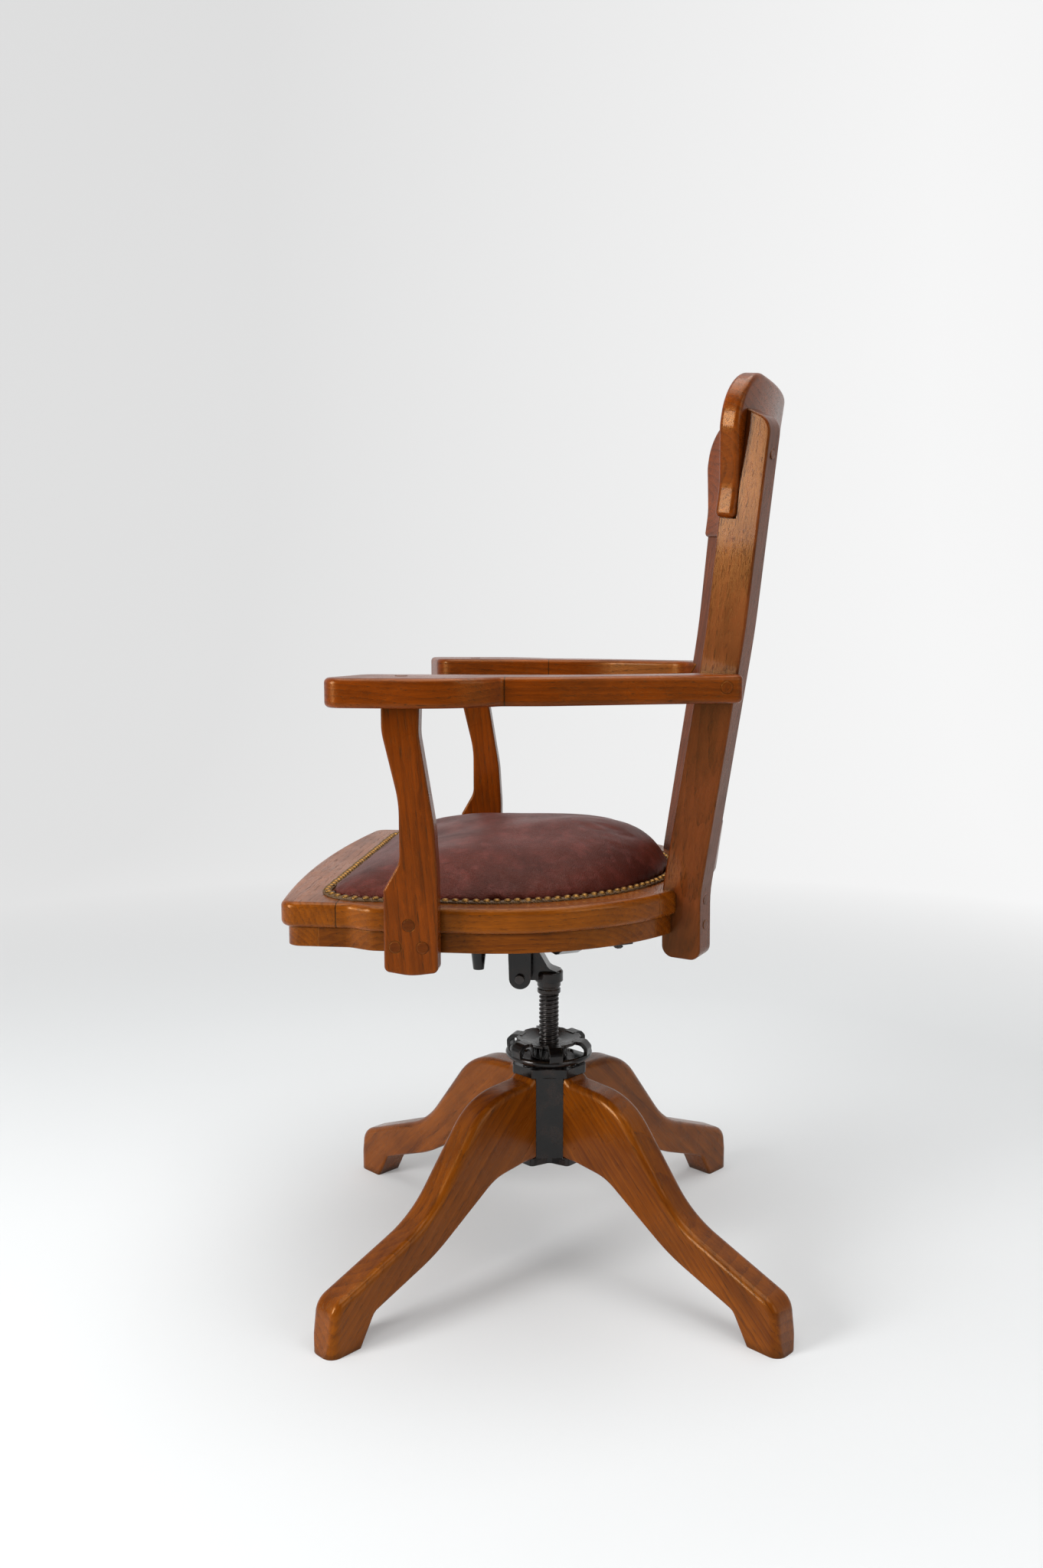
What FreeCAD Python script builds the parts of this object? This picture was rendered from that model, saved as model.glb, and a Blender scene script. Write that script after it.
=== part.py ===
import FreeCAD, Part
import math
import os
from FreeCAD import Placement, Rotation, Vector

# An oak desk armchair that swivels, tilts and rises on an iron screw.
# Millimetres, +Z up. The origin is on the floor under the screw, the seat faces -Y
# and the sitter's left is +X. The four legs stand turned a little from the seat.

os.makedirs("parts", exist_ok=True)
doc = FreeCAD.newDocument("swivel_chair")
sheet = doc.addObject("Spreadsheet::Sheet", "sizes")

SIZES = {
    # legs and hub
    "leg_reach": 339.0,
    "leg_thickness": 36.0,
    "leg_round": 8.0,
    "leg_under_round": 3.0,
    "toe_round": 13.0,
    "foot_length": 41.0,
    "base_turn": 6.6,
    "hub_flat": 41.2,
    "hub_seat": 24.0,
    "hub_bottom": 126.0,
    "hub_top": 232.0,
    "hub_flange": 10.0,
    "bush_radius": 17.0,
    "plate_thickness": 9.0,
    "lug_width": 33.0,
    "collar_reach": 44.0,
    "collar_waist": 40.0,
    "plate_reach": 46.0,
    "plate_waist": 33.0,
    # screw and handwheel
    "screw_radius": 11.5,
    "screw_bottom": 135.0,
    "screw_top": 312.0,
    "collar_radius": 14.0,
    "collar_top": 327.0,
    "tenon_radius": 7.0,
    "running_gap": 0.3,
    "wheel_ring_radius": 47.2,
    "wheel_ring_wire": 3.6,
    "wheel_bottom": 235.0,
    "dish_radius": 38.0,
    "dish_height": 259.0,
    # tilting head
    "head_width": 24.0,
    "flange_radius": 16.5,
    "flange_height": 13.0,
    "pivot_back": -31.0,
    "pivot_height": 336.0,
    "pin_radius": 5.0,
    "pin_length": 72.0,
    "boss_width": 43.0,
    "ear_gap": 44.0,
    "ear_thickness": 9.0,
    "ear_radius": 12.5,
    "spring_back": -83.0,
    "bolt_radius": 4.0,
    "spring_radius": 11.0,
    "spring_wire": 1.5,
    "spring_turns": 4.0,
    "knob_bottom": 338.0,
    "knob_height": 31.0,
    "bracket_height": 370.0,
    "bracket_thickness": 8.0,
    "bracket_width": 68.0,
    "arm_bar": 26.0,
    # seat
    "seat_top": 464.0,
    "rim_thickness": 26.0,
    "apron_height": 20.0,
    "apron_inset": 6.0,
    "rail_width": 62.0,
    "seat_half_width": 240.0,
    "seat_front_half": 229.0,
    "seat_bow": 30.0,
    "bow_radius": 1550.0,
    "seat_corner": 253.0,
    "seat_centre": -57.0,
    "front_joint": -195.0,
    "board_thickness": 14.0,
    "pad_half_width": 208.0,
    "pad_front": 214.0,
    "pad_centre": -70.0,
    "pad_height": 56.0,
    "trim_width": 9.0,
    "trim_height": 3.0,
    # arms and their supports
    "support_outside": 260.0,
    "support_thickness": 20.0,
    "support_bottom": 404.0,
    "arm_bottom": 665.0,
    "arm_thickness": 28.0,
    "plug_radius": 6.0,
    "plug_depth": 6.0,
    "wood_screw_radius": 2.2,
    # back
    "post_turn": 26.0,
    "post_lean": 3.06,
    "post_offset": 15.5,
    "post_thickness": 28.0,
    "post_bottom": 392.0,
    "post_top": 957.0,
    "back_lean": 7.4,
    "crest_bottom": 841.0,
    "crest_height": 141.0,
    "crest_radius": 398.0,
    "crest_thickness": 21.0,
    "crest_back": 215.0,
    "crest_half_width": 197.0,
    "crest_corner": 46.0,
    "rail_bottom": 472.0,
    "rail_height": 51.0,
    "rail_radius": 297.0,
    "rail_thickness": 18.0,
    "rail_back": 173.0,
    "slat_count": 5.0,
    "slat_width": 30.0,
    "slat_thickness": 9.0,
    "slat_pitch": 39.0,
    "slat_spread": 1.3,
}
for row, (alias, value) in enumerate(SIZES.items(), start=1):
    sheet.set("A%d" % row, alias)
    sheet.set("B%d" % row, str(value))
    sheet.setAlias("B%d" % row, alias)
doc.recompute()


class Sizes:
    """The sheet's values by name."""

    def __getattr__(self, alias):
        return float(sheet.get(alias))


S = Sizes()
UPRIGHT = Rotation()
nodes = {}


def node(name, item):
    """Keep an object as a piece of the chair under its own name."""
    item.Label = name
    nodes[name] = item
    return item


def set_size(item, prop, value):
    """Bind a property to the sheet when the value is a formula, else set it."""
    if isinstance(value, str):
        item.setExpression(prop, value)
    else:
        setattr(item, prop, value)


def rounded(points):
    """Closed outline of straight runs and tangent arcs; a point is (a, b) or (a, b, radius)."""
    corners = [Vector(point[0], point[1], 0) for point in points]
    radii = [point[2] if len(point) > 2 else 0.0 for point in points]
    stops = []
    for index, corner in enumerate(corners):
        back = (corners[index - 1] - corner).normalize()
        ahead = (corners[(index + 1) % len(corners)] - corner).normalize()
        if radii[index] == 0:
            stops.append((corner, corner, corner))
            continue
        half = back.getAngle(ahead) / 2
        reach = radii[index] / math.tan(half)
        middle = (back + ahead).normalize() * (radii[index] / math.sin(half) - radii[index])
        stops.append((corner + back * reach, corner + middle, corner + ahead * reach))
    edges = []
    for index, (entry, middle, leave) in enumerate(stops):
        if radii[index] > 0:
            edges.append(Part.Arc(entry, middle, leave))
        following = stops[(index + 1) % len(stops)][0]
        if leave.distanceToPoint(following) > 1e-4:
            edges.append(Part.LineSegment(leave, following))
    return edges


def sketch_body(name, role, edges):
    """A body with one sketch on its own origin plane."""
    body = doc.addObject("PartDesign::Body", name)
    sketch = body.newObject("Sketcher::SketchObject", name + "_outline")
    plane = next(item for item in body.Origin.OriginFeatures if item.Role == role)
    sketch.AttachmentSupport = [(plane, "")]
    sketch.MapMode = "FlatFace"
    sketch.addGeometry(edges, False)
    return body, sketch


def padded(name, role, edges, length, symmetric=False):
    """A body padded from one outline."""
    body, sketch = sketch_body(name, role, edges)
    pad = body.newObject("PartDesign::Pad", name + "_pad")
    pad.Profile = sketch
    set_size(pad, "Length", length)
    if symmetric:
        pad.SideType = "Symmetric"
    return body


def turned(name, edges):
    """A body revolved about Z from an outline in the XZ plane."""
    body, sketch = sketch_body(name, "XZ_Plane", edges)
    spin = body.newObject("PartDesign::Revolution", name + "_turn")
    spin.Profile = sketch
    spin.ReferenceAxis = (sketch, ["V_Axis"])
    spin.Angle = 360.0
    return body


def box(name, corner, lengths):
    item = doc.addObject("Part::Box", name)
    for prop, value in zip(("Length", "Width", "Height"), lengths):
        set_size(item, prop, value)
    item.Placement = Placement(Vector(*corner), UPRIGHT)
    return item


def cylinder(name, foot, radius, height, turn=UPRIGHT):
    item = doc.addObject("Part::Cylinder", name)
    set_size(item, "Radius", radius)
    set_size(item, "Height", height)
    item.Placement = Placement(Vector(*foot), turn)
    return item


def cut(name, base, tool):
    item = doc.addObject("Part::Cut", name)
    item.Base = base
    item.Tool = tool
    return item


def common(name, base, tool):
    item = doc.addObject("Part::Common", name)
    item.Base = base
    item.Tool = tool
    return item


def fused(name, items):
    item = doc.addObject("Part::MultiFuse", name)
    item.Shapes = items
    return item


def group(name, items):
    item = doc.addObject("Part::Compound", name)
    item.Links = items
    return item


def mirrored(name, source):
    """The same piece on the sitter's right."""
    item = doc.addObject("Part::Mirroring", name)
    item.Source = source
    item.Normal = (1, 0, 0)
    return item


def eased(name, source, radius, wanted):
    """Round the edges of a piece that wanted() picks."""
    doc.recompute()
    item = doc.addObject("Part::Fillet", name)
    item.Base = source
    picked = [index for index, edge in enumerate(source.Shape.Edges, start=1) if wanted(edge)]
    item.Edges = [(index, radius, radius) for index in picked]
    return item


def washer(name, foot, outer, inner, height):
    return cut(name, cylinder(name + "_disc", foot, outer, height),
               cylinder(name + "_bore", foot, inner, height))


def along(direction):
    """The turn that points a cylinder along a direction."""
    return Rotation(Vector(0, 0, 1), direction)


def turn_z(angle):
    return Rotation(Vector(0, 0, 1), angle)


# The four legs: S-curved planks that butt against the iron hub.
LEG_ANGLES = [45 + S.base_turn + 90 * step for step in range(4)]
SHOULDER = (117.0, 213.5, 80.0)
HOLLOW = (204.5, 103.0, 120.0)


def leg_outline():
    reach = S.leg_reach
    heel = reach - S.foot_length
    top = S.hub_top - S.hub_flange
    return rounded([(S.hub_seat, top), (43, top), (49, 217.5, 3.0), SHOULDER, HOLLOW,
                    (reach - 7, 54.5, 22.0), (reach, 0.0), (heel, 0.0), (heel - 18, 31.5, 12.0),
                    (195, 63.0, 200.0), (104, 121.0, 60.0), (58, S.hub_bottom, 30.0),
                    (S.hub_seat, S.hub_bottom)])


def leg(number, angle):
    name = "leg_%d" % number
    plank = padded(name + "_plank", "XZ_Plane", leg_outline(), "sizes.leg_thickness", True)
    half = S.leg_thickness / 2

    def long_edge(edge, upper):
        bounds = edge.BoundBox
        on_side = bounds.YLength < 0.01 and abs(abs(bounds.YMin) - half) < 0.01
        place = edge.valueAt((edge.FirstParameter + edge.LastParameter) / 2)
        above = place.z > 185 - 0.45 * place.x or place.x > S.leg_reach - 12
        return on_side and bounds.XMin > 49.5 and bounds.ZMax > 5 and above == upper

    crowned = eased(name + "_crowned", plank, S.leg_round, lambda edge: long_edge(edge, True))
    soft = eased(name + "_soft", crowned, S.leg_under_round, lambda edge: long_edge(edge, False))
    plan = rounded([(0, -half), (S.leg_reach, -half, S.toe_round),
                    (S.leg_reach, half, S.toe_round), (0, half)])
    toe = padded(name + "_toe", "XY_Plane", plan, 260.0)
    piece = common(name, soft, toe)
    piece.Placement = Placement(Vector(), turn_z(angle))
    return node(name, piece)


for number, angle in enumerate(LEG_ANGLES, start=1):
    leg(number, angle)


def slab(name, edges, bottom, length, turn=UPRIGHT):
    """A level plate padded up from an outline in plan."""
    body = padded(name, "XY_Plane", edges, length)
    body.Placement = Placement(Vector(0, 0, bottom), turn)
    return body


def lugged_plate(name, reach, waist, bottom, thickness):
    """A plate with a square lug over each leg and a drawn-in waist between the lugs."""
    half = S.lug_width / 2
    points = []
    for step in range(4):
        turn = turn_z(90 * step)
        inner = turn.multVec(Vector(waist * math.sqrt(0.5), waist * math.sqrt(0.5), 0))
        for y in (-half, half):
            corner = turn.multVec(Vector(reach, y, 0))
            points.append((corner.x, corner.y, 5.0))
        points.append((inner.x, inner.y, 8.0))
    return slab(name, rounded(points), bottom, thickness, turn_z(LEG_ANGLES[0]))


def hub_barrel():
    """An octagonal barrel with a channel for the inner end of each leg."""
    corner = S.hub_flat / math.cos(math.radians(22.5))
    octagon = [(corner * math.cos(math.radians(22.5 + 45 * step)),
                corner * math.sin(math.radians(22.5 + 45 * step))) for step in range(8)]
    height = S.hub_top - S.hub_flange - S.hub_bottom
    barrel = slab("hub_barrel", rounded(octagon), S.hub_bottom, height, turn_z(LEG_ANGLES[0]))
    channels = []
    for step, angle in enumerate(LEG_ANGLES):
        channel = box("hub_channel_%d" % step, (0, 0, 0), (60.0, "sizes.leg_thickness", height))
        corner_spot = turn_z(angle).multVec(Vector(S.hub_seat, -S.leg_thickness / 2, S.hub_bottom))
        channel.Placement = Placement(corner_spot, turn_z(angle))
        channels.append(channel)
    return cut("hub_channelled", barrel, fused("hub_channels", channels))


hub_body = fused("hub_body", [
    hub_barrel(),
    lugged_plate("hub_collar", S.collar_reach, S.collar_waist, S.hub_top - S.hub_flange,
                 "sizes.hub_flange"),
])
node("hub_casting", cut("hub_bored", hub_body,
                        cylinder("hub_bore", (0, 0, 100), "sizes.bush_radius", 150.0)))
plate_bottom = S.hub_bottom - S.plate_thickness
node("hub_bottom_plate", cut(
    "plate_bored", lugged_plate("plate_body", S.plate_reach, S.plate_waist, plate_bottom,
                                "sizes.plate_thickness"),
    cylinder("plate_bore", (0, 0, 100), "sizes.screw_radius + 3", 60.0)))
node("hub_bush", washer("bush", (0, 0, S.hub_bottom), "sizes.bush_radius",
                        "sizes.screw_radius + 0.05", "sizes.hub_top - sizes.hub_bottom - 0.5"))


def screw_with_head(name, foot, direction, shank, length, head, head_height):
    """A screw whose head stands outside its foot point."""
    turn = along(direction)
    start = Vector(*foot)
    out = start - direction * head_height
    return fused(name, [cylinder(name + "_shank", start, shank, length, turn),
                        cylinder(name + "_head", out, head, head_height, turn)])


def hub_screws(name, reach, height, direction):
    items = []
    for step, angle in enumerate(LEG_ANGLES):
        spot = turn_z(angle).multVec(Vector(reach, 0, height))
        items.append(screw_with_head("%s_%d" % (name, step), spot, direction, 2.5, 34.0, 5.5, 2.5))
    return node(name, group(name, items))


hub_screws("hub_top_screws", 36.0, S.hub_top, Vector(0, 0, -1))
hub_screws("hub_bottom_screws", 37.0, plate_bottom, Vector(0, 0, 1))

# The washer that carries the handwheel, and turns with the seat.
node("thrust_washer", washer("thrust", (0, 0, S.hub_top + 0.2), 30.0,
                             "sizes.screw_radius + sizes.running_gap", 2.6))


def handwheel():
    """An open cast wheel: a petalled saucer, six bands curving down to a ring, a fluted boss."""
    low = S.wheel_bottom
    dish = S.dish_height
    rim = S.dish_radius
    outside = S.wheel_ring_radius
    boss = turned("wheel_boss", rounded([
        (6, low), (22, low, 2.0), (15.5, dish - 9, 6.0), (rim, dish - 3.5, 1.0), (rim, dish, 1.0),
        (16, dish - 5, 4.0), (6, dish - 5)]))
    notches = []
    for step in range(12):
        spot = turn_z(30 * step).multVec(Vector(rim + 3.4, 0, dish - 8))
        notches.append(cylinder("wheel_notch_%d" % step, spot, 5.5, 12.0))
    ring = doc.addObject("Part::Torus", "wheel_ring")
    set_size(ring, "Radius1", "sizes.wheel_ring_radius")
    set_size(ring, "Radius2", "sizes.wheel_ring_wire")
    ring_height = low + 2.5 + S.wheel_ring_wire
    ring.Placement = Placement(Vector(0, 0, ring_height), UPRIGHT)
    items = [cut("wheel_saucer", boss, fused("wheel_notches", notches)), ring]
    for step in range(6):
        band = padded("wheel_band_%d" % step, "XZ_Plane", rounded([
            (rim - 7, dish - 0.6), (rim + 6, dish - 0.2, 6.0), (outside + 3.2, dish - 7, 6.0),
            (outside + 2.6, ring_height), (outside - 1.5, ring_height),
            (outside - 1.2, dish - 9, 4.0), (rim + 3, dish - 4.6, 4.0), (rim - 7, dish - 4)]),
            15.0, True)
        band.Placement = Placement(Vector(), turn_z(60 * step + 15))
        items.append(band)
    flutes = 16
    for step in range(flutes):
        spot = turn_z(360.0 / flutes * step).multVec(Vector(19.5, 0, low + 1))
        items.append(cylinder("wheel_flute_%d" % step, spot, 2.2, 13.0))
    bore = cylinder("wheel_bore", (0, 0, low - 10), "sizes.screw_radius + 0.05", 60.0)
    return node("handwheel", cut("wheel", fused("wheel_body", items), bore))


handwheel()

# The screw: threaded part, plain collar, and a tenon in the tilting head.
screw = turned("screw", rounded([
    (0, S.screw_bottom), (S.screw_radius, S.screw_bottom, 2.0), (S.screw_radius, S.screw_top),
    (S.collar_radius - 1, S.screw_top), (S.collar_radius, S.screw_top + 4),
    (S.collar_radius, S.collar_top), (S.tenon_radius, S.collar_top),
    (S.tenon_radius, S.collar_top + 12), (0, S.collar_top + 12)]))
cross_pin = cylinder("cross_pin", (-S.flange_radius + 1, 0, S.collar_top + 6.5), 1.8,
                     "2 * sizes.flange_radius - 2", along(Vector(1, 0, 0)))
node("height_screw", cut("screw_drilled", screw, cross_pin))
node("head_cross_pin", cross_pin)


def tilt_head():
    """The casting on the screw: flange, pivot boss, and an arm that reaches over the spring."""
    web = padded("head_web", "YZ_Plane", rounded([
        (13, 339), (1, 343, 10.0), (-10, 362, 30.0), (-30, 393, 20.0), (-34, 414, 6.0),
        (-98, 414, 4.0), (-98, 404), (-58, 404, 8.0), (-46, 388, 14.0), (-46, 334, 8.0),
        (-31, 329), (0, 330)]), "sizes.head_width", True)
    flange = cylinder("head_flange", (0, 0, S.collar_top), "sizes.flange_radius",
                      "sizes.flange_height")
    soft = eased("head_flange_soft", flange, 3.0, lambda edge: edge.BoundBox.ZMax > S.collar_top + 5
                 and edge.BoundBox.ZLength < 0.01)
    boss = cylinder("head_boss", (-S.boss_width / 2, S.pivot_back, S.pivot_height), 11.0,
                    "sizes.boss_width", along(Vector(1, 0, 0)))
    holes = [
        cylinder("head_pin_hole", (-40, S.pivot_back, S.pivot_height), "sizes.pin_radius", 80.0,
                 along(Vector(1, 0, 0))),
        cylinder("head_bolt_hole", (0, S.spring_back, 380), "sizes.bolt_radius", 60.0),
        cylinder("head_socket", (0, 0, S.collar_top - 1), "sizes.tenon_radius", 13.0),
        cross_pin,
    ]
    return node("tilt_head", cut("head", fused("head_body", [web, soft, boss]),
                                 fused("head_holes", holes)))


tilt_head()
node("pivot_pin", cylinder("pin", (-S.pin_length / 2, S.pivot_back, S.pivot_height),
                           "sizes.pin_radius", "sizes.pin_length", along(Vector(1, 0, 0))))

ARM_UNDERSIDE = 404.0
BRACKET_TOP = S.bracket_height + S.bracket_thickness
bolt_foot = S.knob_bottom + 8
node("tension_bolt", fused("bolt", [
    cylinder("bolt_shank", (0, S.spring_back, bolt_foot), "sizes.bolt_radius", 414 - bolt_foot),
    cylinder("bolt_head", (0, S.spring_back, 414), 8.0, 4.0)]))
node("spring_washer", washer("spring_seat", (0, S.spring_back, ARM_UNDERSIDE - 2), 13.5,
                             "sizes.bolt_radius", 2.0))


def biarc(start, start_way, end, end_way):
    """Two arcs that leave one point along its direction and reach the other along its own."""
    span = end - start
    ways = start_way + end_way
    a = ways.dot(ways) - 4
    b = -2 * span.dot(ways)
    c = span.dot(span)
    reach = (-b - math.sqrt(b * b - 4 * a * c)) / (2 * a)
    near = start + start_way * reach
    far = end - end_way * reach
    joint = (near + far) * 0.5
    arcs = []
    for first, corner, last in ((start, near, joint), (joint, far, end)):
        weight = first.distanceToPoint(last) / (2 * reach)
        middle = (first + corner * (2 * weight) + last) * (1 / (2 + 2 * weight))
        arcs.append(Part.Arc(first, middle, last))
    return arcs


def tilt_spring():
    """An open coil spring around the bolt, as one tube."""
    radius, wire = S.spring_radius, S.spring_wire
    bottom = BRACKET_TOP + 0.5 + wire
    top = ARM_UNDERSIDE - 2.3 - wire
    rise = (top - bottom) / (S.spring_turns * 4)

    def at(quarter):
        turn = math.pi / 2 * quarter
        spot = Vector(radius * math.cos(turn), radius * math.sin(turn), bottom + rise * quarter)
        way = Vector(-math.sin(turn), math.cos(turn), rise / (radius * math.pi / 2))
        return spot + Vector(0, S.spring_back, 0), way.normalize()

    curves = []
    for quarter in range(int(S.spring_turns * 4)):
        start, start_way = at(quarter)
        end, end_way = at(quarter + 1)
        curves += biarc(start, start_way, end, end_way)
    path = Part.Wire([curve.toShape() for curve in curves])
    foot, foot_way = at(0)
    section = Part.Wire([Part.Circle(foot, foot_way, wire).toShape()])
    shell = Part.BRepOffsetAPI.MakePipeShell(path)
    shell.add(section)
    shell.build()
    shell.makeSolid()
    item = doc.addObject("Part::Feature", "coil")
    item.Shape = shell.shape()
    gap = rise * 4 * math.cos(math.atan2(rise * 4, 2 * math.pi * radius)) - 2 * wire
    print("spring: least gap between turns %.2f mm, volume %.0f of %.0f mm3"
          % (gap, item.Shape.Volume, math.pi * wire ** 2 * path.Length))
    return node("tilt_spring", item)


tilt_spring()

knob = doc.addObject("Part::Cone", "knob_body")
set_size(knob, "Height", "sizes.knob_height")
knob.Radius1 = 6.5
knob.Radius2 = 10.0
knob.Placement = Placement(Vector(0, S.spring_back, S.knob_bottom), UPRIGHT)
knob_bore = cylinder("knob_bore", (0, S.spring_back, bolt_foot - 0.3), "sizes.bolt_radius + 0.05",
                     40.0)
node("tension_knob", cut("knob", knob, knob_bore))


def bracket_bar(name, start, target):
    """A flat bar that climbs from the bracket plate to a foot under a seat rail."""
    way = Vector(*target) - Vector(*start)
    length = way.Length
    low, high = S.bracket_height, S.seat_top - S.rim_thickness - S.apron_height
    thick = S.bracket_thickness
    bar = padded(name, "XZ_Plane", rounded([
        (0, low), (24, low, 10.0), (length - 40, high - thick, 10.0),
        (length + 16, high - thick + 2, 3.0), (length + 16, high), (length - 42, high, 18.0),
        (22, low + thick, 18.0), (0, low + thick)]), "sizes.arm_bar", True)
    bar.Placement = Placement(Vector(*start), turn_z(math.degrees(math.atan2(way.y, way.x))))
    return bar


BAR_FEET = [(150.0, -198.0), (150.0, 82.0)]
BAR_STARTS = [(22.0, -86.0), (22.0, 12.0)]


def tilt_bracket():
    """The casting screwed under the seat: plate, two ears on the pin, and four bars."""
    low = S.bracket_height
    half = S.bracket_width / 2
    items = [box("bracket_plate", (-half, -112, low), ("sizes.bracket_width", 144.0,
                                                         "sizes.bracket_thickness"))]
    for side in (1, -1):
        ear = padded("bracket_ear_%d" % (side + 1), "YZ_Plane", rounded([
            (S.pivot_back - 24, low + 2), (S.pivot_back - 13.5, low - 2, 6.0),
            (S.pivot_back - S.ear_radius, S.pivot_height, 2.0),
            (S.pivot_back - S.ear_radius, S.pivot_height - S.ear_radius, S.ear_radius - 0.1),
            (S.pivot_back + S.ear_radius, S.pivot_height - S.ear_radius, S.ear_radius - 0.1),
            (S.pivot_back + S.ear_radius, low + 2)]), "sizes.ear_thickness", True)
        middle = side * (S.ear_gap + S.ear_thickness) / 2
        ear.Placement = Placement(Vector(middle, 0, 0), UPRIGHT)
        items.append(ear)
        for start, foot in zip(BAR_STARTS, BAR_FEET):
            name = "bracket_bar_%d_%d" % (side + 1, len(items))
            items.append(bracket_bar(name, (side * start[0], start[1], 0),
                                     (side * foot[0], foot[1], 0)))
    tools = [
        box("bracket_window", (-22, -62, low - 1), (44.0, 57.0, 30.0)),
        box("bracket_slot", (-5.5, -100, low - 1), (11.0, 23.0, 30.0)),
        cylinder("ear_pin_hole", (-45, S.pivot_back, S.pivot_height), "sizes.pin_radius + 0.05",
                 90.0, along(Vector(1, 0, 0))),
    ]
    return node("tilt_bracket", cut("bracket", fused("bracket_body", items),
                                    fused("bracket_cuts", tools)))


tilt_bracket()
foot_underside = S.seat_top - S.rim_thickness - S.apron_height - S.bracket_thickness
bracket_screw_items = []
for side in (1, -1):
    for start, foot in zip(BAR_STARTS, BAR_FEET):
        run = (Vector(foot[0], foot[1], 0) - Vector(start[0], start[1], 0)).normalize()
        for shift in (-16, 8):
            spot = (side * (foot[0] + run.x * shift), foot[1] + run.y * shift, foot_underside)
            bracket_screw_items.append(screw_with_head(
                "bracket_screw_%d" % len(bracket_screw_items), spot, Vector(0, 0, 1),
                S.wood_screw_radius, 30.0, 5.0, 2.5))
node("bracket_screws", group("bracket_screw_group", bracket_screw_items))


def seat_edges(inset):
    """The D-shaped seat outline, drawn in by an inset."""
    across = S.seat_half_width - inset
    front_half = S.seat_front_half - inset
    corner = -S.seat_corner + inset
    ease = max(18.0 - inset / 4, 4.0)
    half = [(front_half, corner, ease), (front_half, -182, 20.0), (across, -158, 25.0),
            (across, S.seat_centre + across, across)]
    share = front_half / S.seat_front_half
    bow = [(0, corner - S.seat_bow * share, S.bow_radius * share)]
    return rounded(bow + half + [(-x, y, radius) for x, y, radius in reversed(half)])


def pad_edges(inset):
    """The D-shaped outline of the leather pad."""
    across = S.pad_half_width - inset
    front = -S.pad_front + inset
    half = [(across, front, 45.0 - inset / 4), (across, S.pad_centre + across, across)]
    return rounded(half + [(-x, y, radius) for x, y, radius in reversed(half)])


def post_place(side):
    """Where a back post stands: turned to face the sitter and leaning outwards."""
    heading = 90 - side * S.post_turn
    outward = Vector(side * math.cos(math.radians(S.post_turn)),
                     -math.sin(math.radians(S.post_turn)), 0)
    lean = Rotation(Vector(1, 0, 0), side * S.post_lean)
    return Placement(outward * S.post_offset, turn_z(heading).multiply(lean))


# The front and rear edges of a post from the foot up, as distance back, height and radius.
POST_FRONT = [(169.5, S.post_bottom, 12.0), (170.5, 462.0, 150.0), (222.0, 735.0, 900.0),
              (250.5, S.post_top, 4.0)]
POST_REAR = [(213.5, S.post_bottom, 12.0), (214.5, 462.0, 150.0), (264.0, 735.0, 900.0),
             (290.7, S.post_top - 21, 18.0)]


def post_rear(height):
    """How far back the rear face of a post stands at a height."""
    for low, high in zip(POST_REAR, POST_REAR[1:]):
        if height <= high[1]:
            break
    return low[0] + (high[0] - low[0]) * (height - low[1]) / (high[1] - low[1])


def post_blank(name, side):
    """A swept post with its bends eased and its top sloping down to the rear."""
    outline = rounded(POST_FRONT + POST_REAR[::-1])
    plank = padded(name + "_plank", "XZ_Plane", outline, "sizes.post_thickness", True)
    soft = eased(name + "_soft", plank, 2.0,
                 lambda edge: edge.BoundBox.YLength < 0.01 and edge.BoundBox.ZMax > 500)
    soft.Placement = post_place(side)
    return soft


POST_PLUG_HEIGHTS = (429, 456, 905)
POST_PLUG_RADIUS = 5.0
PLUG_PROUD = 0.4
POST_HOLE_RUNOUT = 3.0


def post_plug_spots(side):
    """Screw plugs on the rear face of a post, as places and the direction into the wood."""
    place = post_place(side)
    spots = []
    for height in POST_PLUG_HEIGHTS:
        spot = place.multVec(Vector(post_rear(height), 0, height))
        spots.append((spot, place.Rotation.multVec(Vector(-1, 0, 0))))
    return spots


def bowed_board(name, radius, thickness, back, bottom, height, half_width):
    """A board bent round the sitter, cut off at both ends."""
    centre = back - radius
    ring = washer(name + "_ring", (0, centre, bottom), radius + thickness, radius, height)
    block = box(name + "_block", (-half_width, centre + radius * 0.5, bottom - 1),
                (2.0 * half_width, radius, 300.0))
    return common(name, ring, block)


def crest_end(side):
    """The waste beyond one end of the crest rail, square to the board there."""
    end = S.crest_half_width
    middle = S.crest_radius + S.crest_thickness / 2
    swing = math.degrees(math.asin(end / middle))
    bottom = S.crest_bottom
    top = bottom + S.crest_height
    outline = [(side * -19.5, bottom - 10), (side * -18.5, bottom + 29, 60.0), (0, bottom + 84, 40.0),
               (0, top, S.crest_corner), (side * -90, top), (side * -90, top + 20),
               (side * 80, top + 20), (side * 80, bottom - 10)]
    waste = padded("crest_waste_%d" % (side + 1), "XZ_Plane", rounded(outline), 90.0, True)
    centre = S.crest_back - S.crest_radius
    spot = Vector(side * end, centre + middle * math.cos(math.radians(swing)), 0)
    waste.Placement = Placement(spot, turn_z(-side * swing))
    return waste


crest_band = bowed_board("crest_band", S.crest_radius, S.crest_thickness, S.crest_back,
                         S.crest_bottom, "sizes.crest_height", S.crest_half_width + 15)
crest_shape = cut("crest_shape", crest_band, fused("crest_waste", [crest_end(1), crest_end(-1)]))
crest_shape.Placement = Placement(Vector(), Rotation(Vector(1, 0, 0), -S.back_lean),
                                  Vector(0, S.crest_back, S.crest_bottom))


def crest_edge(edge):
    """The long edges along the front and back of the crest rail."""
    return edge.BoundBox.XLength > 3 and edge.Length > 21


crest = node("crest_rail", eased("crest", crest_shape, 5.0, crest_edge))

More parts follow.
